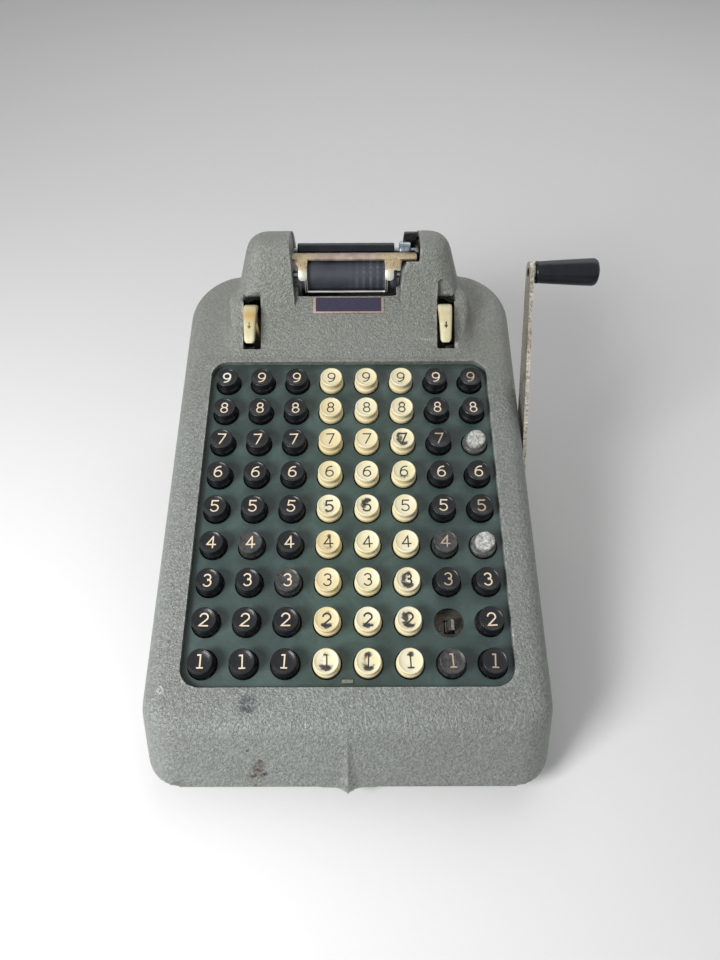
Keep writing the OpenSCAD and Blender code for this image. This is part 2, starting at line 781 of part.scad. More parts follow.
// Lever with a curved finger piece outside its slot and an eye on its stub shaft
module finger_lever(side) {
    half_t = 1.2;
    top_a = 106;
    low_a = 139;
    x0 = side * slot_x - lever_w / 2;
    finger = concat(
        arc(lever_c, lever_r + half_t, top_a, low_a, 8),
        arc(lever_c + polar(lever_r, low_a), half_t, low_a + 30, low_a + 150, 4),
        arc(lever_c, lever_r - half_t, low_a, top_a, 8),
        arc(lever_c + polar(lever_r, top_a), half_t, top_a - 150, top_a - 30, 4)
    );
    centred() color(cream) across(x0, x0 + lever_w) difference() {
        union() {
            link(lever_c, rod_d / 2 + 2.5, lever_c + polar(lever_r - 2, 110), 2);
            polygon(finger);
        }
        translate(lever_c) circle(d = rod_d + 2 * run_gap, $fn = round_fn);
    }
}

module repeat_lever() { finger_lever(-1); }
module total_lever() { finger_lever(1); }

// Key with a dished cap above its plate and a flat stem down through the guide
module key(c, r) {
    rim = cap_r - 1.5;
    dish_r = (rim * rim + dish_depth * dish_depth) / 2 / dish_depth;
    dish = asin(rim / dish_r);
    broken = len([for (k = broken_keys) if (k == [c, r]) k]) > 0;
    translate([column_x(c), row_s(r), 0]) {
        difference() {
            rotate_extrude($fn = round_fn) polygon(concat(
                [[0, -1.2], [cap_r, -1.2], [cap_r, cap_h * 0.55], [cap_r - 0.4, cap_h * 0.62],
                 [cap_r - 0.5, cap_h - 0.5], [cap_r - 1, cap_h]],
                arc([0, cap_h - dish_depth + dish_r], dish_r, -90 + dish, -90, 4)
            ));
            if (broken) translate([0, 0, cap_h - 0.9]) rotate([6, 4, 0])
                translate([-2 * cap_r, -2 * cap_r, 0]) cube([4 * cap_r, 4 * cap_r, 4]);
        }
        stem(-1.2);
    }
}

// Flat stem whose shoulders meet the guide at the end of the travel
module stem(top) {
    w = stem_w / 2;
    stop_n = key_travel + fit_gap - guide_depth;
    translate([-stem_t / 2, 0, 0]) rotate([90, 0, 90]) linear_extrude(stem_t) polygon([
        [-w, -stem_depth], [w, -stem_depth],
        [w, stop_n], [w + 1, stop_n], [w + 1, stop_n + 2], [w, stop_n + 2],
        [w, top + 0.4], [-w, top + 0.4],
        [-w, stop_n + 2], [-w - 1, stop_n + 2], [-w - 1, stop_n], [-w, stop_n]
    ]);
}

module one_key(c, r) {
    centred() color(key_colour(c)) sloped() key(c, r);
}

module key_column(c) {
    centred() color(key_colour(c)) sloped() for (r = [1:rows]) key(c, r);
}
function key_colour(c) = len([for (k = cream_columns) if (k == c) k]) > 0 ? cream : plate_black;

// What is left of the lost key: its stem, bent over below the hole
module stem_7_2() {
    bend_n = -8;
    centred() color(steel) sloped() translate([column_x(missing_key[0]), row_s(missing_key[1]), 0]) {
        stem(bend_n);
        translate([0, 0, bend_n]) rotate([0, 24, 0]) translate([-stem_t / 2, -stem_w / 2, -0.6])
            cube([stem_t, stem_w, 6]);
    }
}

case();
base_plate();
rubber_feet();
foot_screws();
key_plate();
key_guide();
side_frame_left();
side_frame_right();
cross_rods();
rack_combs();
lever_shaft();
type_shaft();
crank_bushing();
paper_guide();
guide_wire();
spindle_brackets();
main_shaft();
drive_arms();
crank_arm();
crank_nut();
grip_pin();
crank_grip();
rack_bank();
type_bars();
adder_shaft();
adder_gears();
platen_rubber();
platen_shaft();
platen_ratchet();
spindle_core();
spindle_rod();
spindle_knob();
ribbon_spool_left();
ribbon_spool_right();
repeat_lever();
total_lever();
key_column(1);  // keys_column_1
key_column(2);  // keys_column_2
key_column(3);  // keys_column_3
key_column(4);  // keys_column_4
key_column(5);  // keys_column_5
key_column(6);  // keys_column_6
one_key(7, 1);  // key_7_1
stem_7_2();
one_key(7, 3);  // key_7_3
one_key(7, 4);  // key_7_4
one_key(7, 5);  // key_7_5
one_key(7, 6);  // key_7_6
one_key(7, 7);  // key_7_7
one_key(7, 8);  // key_7_8
one_key(7, 9);  // key_7_9
one_key(8, 1);  // key_8_1
one_key(8, 2);  // key_8_2
one_key(8, 3);  // key_8_3
one_key(8, 4);  // key_8_4
one_key(8, 5);  // key_8_5
one_key(8, 6);  // key_8_6
one_key(8, 7);  // key_8_7
one_key(8, 8);  // key_8_8
one_key(8, 9);  // key_8_9
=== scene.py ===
import json
import math
import random

import bmesh
import bpy
import numpy as np
from mathutils import Matrix, Vector, kdtree, noise

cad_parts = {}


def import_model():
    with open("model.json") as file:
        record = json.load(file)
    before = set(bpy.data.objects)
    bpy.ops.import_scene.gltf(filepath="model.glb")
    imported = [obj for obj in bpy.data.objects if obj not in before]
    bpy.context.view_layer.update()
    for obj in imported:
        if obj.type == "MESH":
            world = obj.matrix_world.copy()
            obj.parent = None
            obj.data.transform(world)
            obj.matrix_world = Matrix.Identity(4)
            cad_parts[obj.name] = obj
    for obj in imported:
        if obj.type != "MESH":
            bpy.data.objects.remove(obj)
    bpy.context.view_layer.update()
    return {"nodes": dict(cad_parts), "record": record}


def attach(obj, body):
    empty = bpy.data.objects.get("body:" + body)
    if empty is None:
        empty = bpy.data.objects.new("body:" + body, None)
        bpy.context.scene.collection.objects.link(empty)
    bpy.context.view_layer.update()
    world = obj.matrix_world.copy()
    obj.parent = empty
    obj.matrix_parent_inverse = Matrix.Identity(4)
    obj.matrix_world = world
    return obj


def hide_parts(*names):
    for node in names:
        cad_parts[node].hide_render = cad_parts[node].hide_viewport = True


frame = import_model()
nodes = frame["nodes"]

# Values of the source in millimetres, in the machine's frame: across, rearward, upward
MM = 0.001
CENTRE_X, CENTRE_Y = 19.125, 136.098  # where the row frame has its origin
TILT = math.radians(15.6)  # of the key plate
APRON, PLATE_Z = 32.7, 43.5  # where the key plate begins
COLUMNS, ROWS = 8, 9
COL_PITCH, ROW_PITCH = 19.05, 19.3
FRONT_MARGIN = 10.6  # from the key plate's edge to the first row
KEYS_HALF = 76.2  # half the width of the key plate
KEY_TRAVEL = 4.5
FIT_GAP = 0.2
GUIDE_DEPTH = 20.0
STEM_DEPTH, STEM_W, STEM_T = 24.0, 5.0, 1.6
PANEL_TILT = math.radians(38)
CREASE = (206.047, 95.429)  # where the panel meets the deck
TOWER_FOOT = (229.047, 113.4)
TOWER_LEAN = math.tan(math.radians(23.4))
GAP_X = 30.5  # half the width of the window
NOTCH_X = 38.5
SLOT_X = 54.6
PLATEN_C = (246.047, 123.3)
PLATEN_R, PLATEN_W = 9.0, 54.0
SPINDLE_C = (262.047, 129.0)
LEVER_C, LEVER_R = (238.047, 77.029), 39.8
CRANK_C = (146.0, 33.0)
GRIP_C = (218.13, 141.154)
ARM_X, ARM_T = 94.75, 2.0
GRIP_X = 98.25

# Keys are named by column and row
CREAM_COLUMNS = (4, 5, 6)
FIRST_SINGLE = 7  # the columns from here on have a body for each key
BROKEN = ((8, 4), (8, 7))
MISSING = (7, 2)
WHITE = (1, 9)
CHALKY = ((2, 4), (3, 3), (7, 4), (7, 1))
DULL = ((7, 4), (7, 3), (7, 1), (8, 1), (8, 5), (8, 9), (7, 7))
THICK = ((4, 5), (5, 5), (4, 2), (5, 2), (6, 2), (6, 3), (6, 7))

# From machine millimetres to the row frame's metres
MACHINE = Matrix.Translation((-CENTRE_X * MM, -CENTRE_Y * MM, 0)) @ Matrix.Scale(MM, 4)


def frame_at(origin, tilt=0.0):
    """A frame at a machine point whose second axis rises by tilt: mm in, row metres out."""
    return MACHINE @ Matrix.Translation(origin) @ Matrix.Rotation(tilt, 4, "X")


SLOPED = frame_at((0, APRON, PLATE_Z), TILT)
PANEL = frame_at((0, *CREASE), PANEL_TILT)
# Turns a lathe's axis across the machine
ACROSS = Matrix.Rotation(math.radians(90), 4, "Y")
# Turns an outline upright, with its thickness across the machine
UPRIGHT = Matrix(((0, 0, 1, 0), (1, 0, 0, 0), (0, 1, 0, 0), (0, 0, 0, 1)))
SIDE = MACHINE @ UPRIGHT


def on_axis(x, c):
    """A lathe's frame that starts at x on the axis through c, which is (rearward, upward)."""
    return MACHINE @ Matrix.Translation((x, *c)) @ ACROSS


# Materials -------------------------------------------------------------------


class Shader:
    """One procedural material, built from sockets and plain values."""

    def __init__(self, name):
        self.material = bpy.data.materials.new(name)
        self.material.use_nodes = True
        self.tree = self.material.node_tree
        self.bsdf = self.tree.nodes["Principled BSDF"]
        self.point = self.add("ShaderNodeTexCoord").outputs["Object"]

    def add(self, kind, **options):
        node = self.tree.nodes.new(kind)
        for key, value in options.items():
            setattr(node, key, value)
        return node

    def feed(self, socket, value):
        if isinstance(value, bpy.types.NodeSocket):
            self.tree.links.new(value, socket)
        elif isinstance(value, tuple) and len(value) == 3 and socket.type == "RGBA":
            socket.default_value = (*value, 1)
        else:
            socket.default_value = value

    def set(self, **inputs):
        for key, value in inputs.items():
            self.feed(self.bsdf.inputs[key.replace("_", " ")], value)

    def node(self, kind, output, inputs, **options):
        """Adds a node, feeds its inputs and returns one of its outputs."""
        node = self.add(kind, **options)
        for key, value in inputs.items():
            self.feed(node.inputs[key], value)
        return node.outputs[output]

    def stretch(self, sx, sy, sz):
        """The point with its axes scaled, for a texture that runs along the piece."""
        return self.node("ShaderNodeVectorMath", 0, {0: self.point, 1: (sx, sy, sz)}, operation="MULTIPLY")

    def noise(self, scale, detail=3.0, rough=0.5, warp=0.0, point=None):
        inputs = {"Scale": scale, "Detail": detail, "Roughness": rough, "Distortion": warp}
        return self.node("ShaderNodeTexNoise", "Fac", {"Vector": point or self.point, **inputs})

    def cells(self, scale, smooth):
        inputs = {"Vector": self.point, "Scale": scale, "Smoothness": smooth}
        return self.node("ShaderNodeTexVoronoi", "Distance", inputs, feature="SMOOTH_F1")

    def sum(self, a, b, operation="ADD"):
        return self.node("ShaderNodeMath", 0, {0: a, 1: b}, operation=operation)

    def times(self, a, b):
        return self.sum(a, b, "MULTIPLY")

    def span(self, value, low, high, to_low=0.0, to_high=1.0):
        """Maps low to high onto to_low to to_high, with soft ends."""
        inputs = {"Value": value, "From Min": low, "From Max": high, "To Min": to_low, "To Max": to_high}
        return self.node("ShaderNodeMapRange", "Result", inputs, interpolation_type="SMOOTHSTEP")

    def ramp(self, value, *stops):
        """Colours a value by stops of (place, red, green, blue)."""
        node = self.add("ShaderNodeValToRGB")
        self.feed(node.inputs["Fac"], value)
        points = node.color_ramp.elements
        while len(points) < len(stops):
            points.new(0.5)
        for element, (place, *colour) in zip(points, stops):
            element.position = place
            element.color = (*srgb(*colour), 1)
        return node.outputs["Color"]

    def mix(self, fac, a, b):
        return self.node("ShaderNodeMix", "Result", {"Factor": fac, "A": a, "B": b}, data_type="RGBA")

    def cover(self, tone, fac, strength, colour):
        """Lays an sRGB colour over a tone."""
        return self.mix(self.times(fac, strength), tone, srgb(*colour))

    def finish(self, height, depth, strength):
        """Adds the relief and returns the finished material."""
        inputs = {"Height": height, "Distance": depth, "Strength": strength}
        self.set(Normal=self.node("ShaderNodeBump", "Normal", inputs))
        return self.material

    def axis(self, letter):
        return self.node("ShaderNodeSeparateXYZ", letter, {0: self.point})

    def between(self, letter, none, full):
        """0 at one place of a machine axis, rising to 1 at another."""
        origin = {"X": CENTRE_X, "Y": CENTRE_Y}[letter]
        return self.span(self.axis(letter), (none - origin) * MM, (full - origin) * MM)

    def wave(self, letter, pitch):
        """A sine along a row axis."""
        phase = self.times(self.axis(letter), 2 * math.pi / (pitch * MM))
        return self.node("ShaderNodeMath", 0, {0: phase}, operation="SINE")

    def attribute(self, name):
        return self.add("ShaderNodeAttribute", attribute_name=name).outputs["Fac"]

    def near(self, place, radius):
        """1 at a machine point, falling to 0 at a radius."""
        ends = {0: self.point, 1: machine_point(*place)}
        distance = self.node("ShaderNodeVectorMath", "Value", ends, operation="DISTANCE")
        return self.span(distance, radius * MM, radius * 0.35 * MM)


def srgb(r, g, b):
    def linear(v):
        v /= 255
        return v / 12.92 if v <= 0.04045 else ((v + 0.055) / 1.055) ** 2.4

    return linear(r), linear(g), linear(b)


def machine_point(x, y, z):
    return tuple(MACHINE @ Vector((x, y, z)))


# Spots of dirt on the front: place, radius and strength
STAINS = [
    ((-39.6, 5.4, 23.0), 4.6, 0.6), ((-41.0, 3.6, 18.5), 5.8, 0.5),
    ((-42.3, 3.2, 17.9), 2.0, 1.0), ((-39.6, 3.2, 17.9), 0.9, 0.8),
    ((-37.5, 3.8, 19.3), 1.8, 0.95), ((-39.1, 6.8, 26.0), 1.4, 0.75),
    ((-41.3, 0.6, 11.8), 2.8, 0.7), ((-77.0, 2.4, 14.0), 5.0, 0.4),
    ((-44.3, 9.2, 31.1), 1.1, 0.95), ((-40.3, 10.5, 34.1), 0.8, 0.85),
    ((-44.6, 11.8, 36.9), 0.7, 0.7), ((-41.7, 11.6, 36.5), 0.7, 0.7),
    ((-82.1, 10.6, 32.7), 1.0, 0.8), ((-66.9, 14.1, 41.4), 1.0, 0.6),
    ((-63.1, 5.0, 22.1), 0.8, 0.7), ((-53.3, 5.3, 22.6), 0.8, 0.6),
    ((20.8, 6.1, 23.3), 1.2, 0.9), ((62.8, 18.6, 43.1), 2.0, 0.4),
]


def case_paint():
    """Hammertone enamel with worn edges, painted shade in its hollows and inner walls, a painted warm
    reflection towards the rear, stains, a smudge and a dried drop.
    """
    s = Shader("case_paint")
    worm = s.noise(820, 2.0, 0.5, 1.4)
    pebble = s.cells(760, 0.6)
    fine = s.noise(2600, 2.0)
    grain = s.sum(s.times(worm, 0.8), s.times(pebble, 0.35))
    tone = s.ramp(grain, (0.36, 110, 114, 111), (0.52, 126, 130, 126), (0.7, 146, 151, 147))
    tone = s.mix(s.span(s.noise(16, 3.0), 0.35, 0.7, 0.0, 0.22), tone, srgb(106, 104, 97))
    # Painted warm reflection: the case turns warmer and a little darker towards the rear
    tone = s.cover(tone, s.between("Y", 140, 225), 0.34, (124, 122, 112))
    wear = s.times(s.attribute("wear"), s.span(s.noise(260, 3.0), 0.38, 0.62))
    tone = s.cover(tone, wear, 0.55, (184, 186, 182))
    # Painted shade: darker in the hollows and creases, broken by noise
    painted_crease_shade = s.times(s.attribute("painted_crease_shade"), s.span(s.noise(180, 4.0), 0.25, 0.7, 0.35, 1.0))
    tone = s.cover(tone, painted_crease_shade, 0.55, (66, 62, 55))
    total = 0.0
    for place, radius, strength in STAINS:
        total = s.sum(total, s.times(s.near(place, radius), strength))
    broken = s.span(s.noise(420, 3.0, 0.6, 0.5), 0.36, 0.54)
    tone = s.mix(s.times(total, broken), tone, srgb(74, 64, 50))
    streaks = s.span(s.noise(1.0, 4.0, 0.7, 0.8, s.stretch(300, 560, 560)), 0.42, 0.54)
    smudge = s.times(s.near((-44.4, 24.3, 44.7), 6.2), streaks)
    tone = s.cover(tone, smudge, 0.85, (58, 64, 70))
    drop = (-83.9, 30.6, 46.4)
    ring = s.sum(s.near(drop, 2.2), s.near(drop, 1.4), "SUBTRACT")
    tone = s.cover(tone, ring, 0.9, (188, 194, 194))
    # Painted shade: the inner walls of the knob's notch and the lever slots turn near black, as if in shadow
    tone = s.mix(s.attribute("inside"), tone, srgb(20, 20, 20))
    s.set(Base_Color=tone, Metallic=0.18)
    s.set(Roughness=s.span(s.sum(grain, s.times(fine, 0.3)), 0.3, 0.9, 0.26, 0.44))
    return s.finish(s.sum(grain, s.times(fine, 0.12)), 0.0009, 1.0)


def plate_paint():
    s = Shader("plate_paint")
    blotch = s.noise(55, 4.0, 0.6, 0.6)
    tone = s.ramp(blotch, (0.3, 42, 58, 55), (0.5, 54, 72, 68), (0.68, 70, 90, 86))
    dust = s.span(s.noise(900, 3.0), 0.62, 0.8)
    tone = s.cover(tone, dust, 0.25, (128, 140, 130))
    scuff = s.span(s.noise(1.0, 4.0, 0.6, 0.0, s.stretch(90, 420, 260)), 0.60, 0.75)
    tone = s.cover(tone, scuff, 0.22, (30, 42, 38))
    s.set(Base_Color=tone, Roughness=s.span(blotch, 0.3, 0.7, 0.5, 0.34))
    return s.finish(s.noise(1500, 2.0), 0.00004, 0.6)


def key_black():
    s = Shader("key_black")
    cloud = s.noise(160, 4.0, 0.6, 0.4)
    tone = s.ramp(cloud, (0.3, 13, 14, 17), (0.7, 25, 27, 32))
    dust = s.span(s.noise(1300, 4.0, 0.7), 0.6, 0.78)
    tone = s.cover(tone, dust, 0.2, (84, 84, 84))
    rough = s.times(s.attribute("crumble"), s.span(s.noise(420, 4.0, 0.7), 0.3, 0.5, 0.3, 1.0))
    chalk = s.noise(520, 4.0, 0.75, 0.8)
    chalk = s.ramp(chalk, (0.32, 88, 84, 80), (0.46, 176, 176, 172), (0.66, 236, 236, 232))
    tone = s.mix(rough, tone, chalk)
    s.set(Base_Color=tone, Specular_IOR_Level=0.32)
    s.set(Roughness=s.span(s.sum(cloud, rough), 0.3, 1.3, 0.24, 0.7))
    return s.finish(s.sum(s.noise(900, 3.0), s.times(rough, s.noise(420, 4.0, 0.7))), 0.00012, 0.7)


def key_cream():
    s = Shader("key_cream")
    cloud = s.noise(120, 4.0, 0.55, 0.4)
    tone = s.ramp(cloud, (0.32, 233, 222, 178), (0.55, 242, 233, 199), (0.75, 247, 240, 214))
    # Yellowing on the tops; on the sides partly yellowing, partly painted shade
    tone = s.cover(tone, s.attribute("yellow"), 0.8, (224, 196, 128))
    soil = s.attribute("soil")
    haze = s.times(s.span(soil, 0.05, 0.8), s.span(s.noise(600, 3.0), 0.3, 0.6, 0.3, 0.6))
    tone = s.mix(haze, tone, srgb(112, 104, 98))
    edge = s.span(s.sum(soil, s.times(s.noise(1100, 4.0, 0.7), 0.8)), 0.62, 1.12)
    tone = s.cover(tone, edge, 0.92, (38, 38, 40))
    groove = s.span(s.noise(700, 3.0), 0.64, 0.8)
    tone = s.cover(tone, groove, 0.25, (170, 140, 88))
    s.set(Base_Color=tone, Roughness=s.span(s.sum(cloud, edge), 0.3, 1.5, 0.3, 0.7))
    return s.finish(s.noise(1000, 3.0), 0.00004, 0.6)


def paint(name, colour, dark, rough=0.5):
    """Plain filled paint for digits and arrows, slightly uneven."""
    s = Shader(name)
    patch = s.noise(900, 3.0, 0.6)
    s.set(Base_Color=s.mix(s.span(patch, 0.5, 0.75), srgb(*colour), srgb(*dark)), Roughness=rough)
    return s.finish(patch, 0.00002, 0.5)


def steel(name, light, dark, rough=(0.28, 0.45), pits=0.0, brown=0.0):
    """Drawn or worn steel: streaks along the piece, and pits where it is worn."""
    s = Shader(name)
    streak = s.noise(1.0, 3.0, 0.6, 0.0, s.stretch(60, 900, 900))
    tone = s.ramp(streak, (0.3, *dark), (0.7, *light))
    value = streak
    if pits:
        pit = s.span(s.noise(1150, 4.0, 0.75), 0.5, 0.6)
        tone = s.cover(tone, pit, pits, (70, 64, 54))
        value = s.sum(streak, s.times(pit, -0.8))
    if brown:
        stain = s.span(s.noise(70, 4.0, 0.6, 0.5), 0.42, 0.66)
        tone = s.cover(tone, stain, brown, (104, 82, 52))
    s.set(Base_Color=tone, Metallic=0.75 if pits else 0.9)
    s.set(Roughness=s.span(streak, 0.3, 0.7, *rough))
    return s.finish(value, 0.00014 if pits else 0.00005, 0.7)


def rubber(name, light, dark, printed=False):
    """Matt rubber, with faint rows of old print towards its right end if printed."""
    s = Shader(name)
    cloud = s.noise(90, 4.0, 0.6)
    tone = s.ramp(cloud, (0.3, *dark), (0.7, *light))
    if printed:
        column = s.wave("X", 3.9)
        row = s.wave("Y", 1.9)
        right = s.between("X", -6, 18)
        marks = s.times(s.span(column, 0.1, 0.7), s.span(row, -0.3, 0.6, 0.35, 1.0))
        fade = s.span(s.noise(300, 3.0), 0.3, 0.6, 0.3, 1.0)
        tone = s.mix(s.times(s.times(marks, right), s.times(fade, 0.6)), tone, srgb(104, 112, 120))
    s.set(Base_Color=tone, Roughness=s.span(cloud, 0.3, 0.7, 0.45, 0.62))
    return s.finish(s.noise(1200, 3.0), 0.00005, 0.6)


def guide_metal():
    s = Shader("guide_metal")
    cloud = s.noise(150, 4.0, 0.6, 0.5)
    tone = s.ramp(cloud, (0.3, 128, 110, 98), (0.5, 156, 138, 126), (0.72, 188, 172, 160))
    ends = s.sum(s.between("X", -16, -23), s.between("X", 13, 20))
    tone = s.cover(tone, ends, 0.75, (186, 170, 130))
    speck = s.times(s.span(s.noise(1300, 4.0, 0.75), 0.5, 0.62), s.sum(s.times(ends, 0.7), 0.2))
    tone = s.mix(speck, tone, srgb(112, 88, 50))
    front = s.between("Y", 239, 236)
    tone = s.cover(tone, front, 0.9, (205, 205, 194))
    s.set(Base_Color=tone, Metallic=0.35, Roughness=s.span(cloud, 0.3, 0.7, 0.34, 0.5))
    return s.finish(speck, 0.00006, 0.6)


def lever_cream():
    s = Shader("lever_cream")
    cloud = s.noise(110, 4.0, 0.55, 0.4)
    tone = s.ramp(cloud, (0.3, 205, 196, 152), (0.55, 222, 215, 178), (0.75, 236, 231, 202))
    tone = s.cover(tone, s.attribute("yellow"), 0.9, (190, 150, 70))
    s.set(Base_Color=tone, Roughness=s.span(cloud, 0.3, 0.7, 0.3, 0.44))
    return s.finish(s.noise(1000, 3.0), 0.00004, 0.6)


def gloss_black(name):
    s = Shader(name)
    cloud = s.noise(130, 4.0, 0.6)
    tone = s.ramp(cloud, (0.3, 10, 13, 20), (0.7, 20, 24, 33))
    dust = s.span(s.noise(1400, 4.0, 0.7), 0.64, 0.8)
    tone = s.cover(tone, dust, 0.25, (90, 92, 94))
    s.set(Base_Color=tone, Roughness=s.span(cloud, 0.3, 0.7, 0.16, 0.3), Specular_IOR_Level=0.25)
    return s.finish(s.noise(700, 2.0), 0.00003, 0.5)


def bronze():
    s = Shader("bronze")
    cloud = s.noise(200, 4.0, 0.6)
    tone = s.ramp(cloud, (0.3, 116, 84, 42), (0.7, 176, 136, 76))
    s.set(Base_Color=tone, Metallic=0.85, Roughness=s.span(cloud, 0.3, 0.7, 0.3, 0.5))
    return s.finish(s.noise(1200, 2.0), 0.00004, 0.6)


MATERIALS = {
    "case_paint": case_paint(),
    "plate_paint": plate_paint(),
    "key_black": key_black(),
    "key_cream": key_cream(),
    "lever_cream": lever_cream(),
    "steel": steel("steel", (196, 196, 194), (150, 150, 148)),
    "dark_steel": steel("dark_steel", (112, 111, 108), (74, 73, 71), (0.4, 0.6)),
    "crank_steel": steel("crank_steel", (214, 210, 200), (168, 162, 150), (0.3, 0.5), 0.85, 0.45),
    "bright_steel": steel("bright_steel", (156, 166, 172), (104, 113, 120), (0.18, 0.3)),
    "bronze": bronze(),
    "guide_metal": guide_metal(),
    "grip_black": gloss_black("grip_black"),
    "spindle_black": gloss_black("spindle_black"),
    "platen_rubber": rubber("platen_rubber", (54, 59, 68), (36, 40, 48), True),
    "feet_rubber": rubber("feet_rubber", (44, 43, 42), (28, 28, 28)),
}
DIGIT_LIGHT = paint("digit_light", (238, 222, 194), (214, 176, 132))
DIGIT_WHITE = paint("digit_white", (244, 238, 226), (214, 204, 190))
DIGIT_DULL = paint("digit_dull", (190, 168, 146), (132, 114, 98))
DIGIT_DARK = paint("digit_dark", (30, 29, 28), (60, 54, 44))
ARROW_DARK = paint("arrow_dark", (44, 40, 34), (70, 62, 50))
ARROW_WORN = paint("arrow_worn", (112, 88, 50), (150, 124, 76))
TAB_FIELD = paint("tab_field", (122, 124, 116), (70, 74, 70), 0.4)
STRIP_METAL = steel("strip_metal", (128, 125, 118), (92, 90, 84), (0.5, 0.7), 0.4, 0.3)
LABEL_FIELD = paint("label_field", (38, 34, 58), (52, 46, 72), 0.35)
LABEL_EDGE = paint("label_edge", (178, 152, 138), (134, 110, 98), 0.35)

for part in frame["record"]["subparts"]:
    surface = nodes[part["node"]].data
    surface.materials.clear()
    surface.materials.append(MATERIALS[part["material_slot"]])


# Pieces ----------------------------------------------------------------------


def placed(name, data):
    obj = bpy.data.objects.new(name, data)
    bpy.context.scene.collection.objects.link(obj)
    return obj


def finish_piece(name, mesh, body, replaces=(), sharp=38):
    """Makes an object of a mesh, on its body and in place of its nodes."""
    mesh.shade_smooth()
    mesh.set_sharp_from_angle(angle=math.radians(sharp))
    obj = placed(name, mesh)
    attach(obj, body)
    if replaces:
        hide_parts(*replaces)


def piece(name, bm, body, slot=None, replaces=(), materials=None, sharp=38):
    """Makes an object of a bmesh in row metres, in its slot's material or others."""
    bmesh.ops.recalc_face_normals(bm, faces=bm.faces)
    mesh = bpy.data.meshes.new(name)
    bm.to_mesh(mesh)
    bm.free()
    for material in materials or [MATERIALS[slot]]:
        mesh.materials.append(material)
    finish_piece(name, mesh, body, replaces, sharp)


def lathe(bm, profile, matrix, segments=48, wobble=None):
    """Turns a profile of (radius, height) about the third axis. Returns the new vertices."""
    rings = []
    made = []
    for r, h in profile:
        ring = []
        for i in range(segments if r else 1):
            a = 2 * math.pi * i / segments
            p = Vector((r * math.cos(a), r * math.sin(a), h))
            ring.append(bm.verts.new(matrix @ (wobble(p) if wobble and r else p)))
        made += ring
        rings.append(ring if r else ring * segments)
    for low, high in zip(rings, rings[1:]):
        for i in range(segments):
            j = (i + 1) % segments
            corners = list(dict.fromkeys((low[i], low[j], high[j], high[i])))
            if len(corners) > 2:
                bm.faces.new(corners)
    return made


def plate(bm, outline, low, high, matrix, bevel=0.0, segments=2, material=0):
    """Extrudes an outline of (first, second) between two heights, with its rims rounded."""
    bottom = [bm.verts.new(matrix @ Vector((a, b, low))) for a, b in outline]
    top = [bm.verts.new(matrix @ Vector((a, b, high))) for a, b in outline]
    count = len(outline)
    faces = [bm.faces.new(bottom[::-1]), bm.faces.new(top)]
    for i in range(count):
        j = (i + 1) % count
        faces.append(bm.faces.new((bottom[i], bottom[j], top[j], top[i])))
    for face in faces:
        face.material_index = material
    if bevel:
        bmesh.ops.bevel(
            bm, geom=[*faces[0].edges, *faces[1].edges], offset=bevel * MM, segments=segments,
            profile=0.5, affect="EDGES", clamp_overlap=True,
        )


def clamp(value, low=0.0):
    return min(1.0, max(low, value))


def polar(c, r, a):
    return c[0] + r * math.cos(math.radians(a)), c[1] + r * math.sin(math.radians(a))


def arc(c, r, a0, a1, count):
    """Points about c from one angle to another, in degrees."""
    return [polar(c, r, a0 + (a1 - a0) * i / count) for i in range(count + 1)]


def neighbour_mean(co, edges, degree, k):
    """The mean of a column of values over each vertex's neighbours."""
    count = len(co)
    first, second = edges.T
    total = np.bincount(first, co[second, k], count)
    total += np.bincount(second, co[first, k], count)
    return total / degree


def edge_counts(edges, count):
    return np.maximum(np.bincount(edges.ravel(), minlength=count), 1)


def relax(co, edges, weight, rounds):
    """Moves each row of values towards the mean of its neighbours."""
    degree = edge_counts(edges, len(co))
    step = (weight * 0.5)[:, None]
    for _ in range(rounds):
        mean = np.stack([neighbour_mean(co, edges, degree, k) for k in range(co.shape[1])], axis=1)
        co += step * (mean - co)
    return co


def blur(value, edges, rounds):
    """The same for one value a vertex."""
    return relax(value[:, None].copy(), edges, np.ones(len(value)), rounds)[:, 0]


def spread(value, edges, rounds):
    """Grows a field to its neighbours, then blurs it."""
    first, second = edges.T
    for _ in range(rounds):
        grown = value.copy()
        np.maximum.at(grown, first, value[second])
        np.maximum.at(grown, second, value[first])
        value = grown
    return blur(value, edges, rounds)


def arrays(mesh):
    """A mesh's vertices, edges and vertex normals."""
    co = np.empty(len(mesh.vertices) * 3)
    mesh.vertices.foreach_get("co", co)
    edges = np.empty(len(mesh.edges) * 2, np.int64)
    mesh.edges.foreach_get("vertices", edges)
    normals = np.empty(len(mesh.vertices) * 3)
    mesh.vertex_normals.foreach_get("vector", normals)
    return co.reshape(-1, 3), edges.reshape(-1, 2), normals.reshape(-1, 3)


def bend_of(co, edges, normals):
    """How far each vertex lies inside its neighbours' plane: positive in a hollow."""
    degree = edge_counts(edges, len(co))
    out = np.zeros(len(co))
    for k in range(3):
        out += (neighbour_mean(co, edges, degree, k) - co[:, k]) * normals[:, k]
    return out


def evaluated(obj):
    """A new mesh with the object's modifiers applied."""
    bpy.context.view_layer.update()
    graph = bpy.context.evaluated_depsgraph_get()
    return bpy.data.meshes.new_from_object(obj.evaluated_get(graph))


GRID_DEPTH = 8
GRID_FILL = 0.95  # how much of the grid the case fills
THINNED = 0.3  # the share of its faces that the casting keeps
EASING, FILLING = 6, 60  # rounds
TOWERS_Y = 224  # the towers stand behind this
RIM = 2.2  # how far the keyboard's opening keeps its edge
RECESS_Z = (118.4, 126.6)  # above the right lever's slot
NOTCH_Z = 141.2
SPLAY, TIGHT = 2.0, 1.8  # how far the towers' inner walls move out, and the right one back


def rise(value, none, full):
    """0 at one value, rising to 1 at another."""
    return np.clip((value - none) / (full - none), 0, 1)


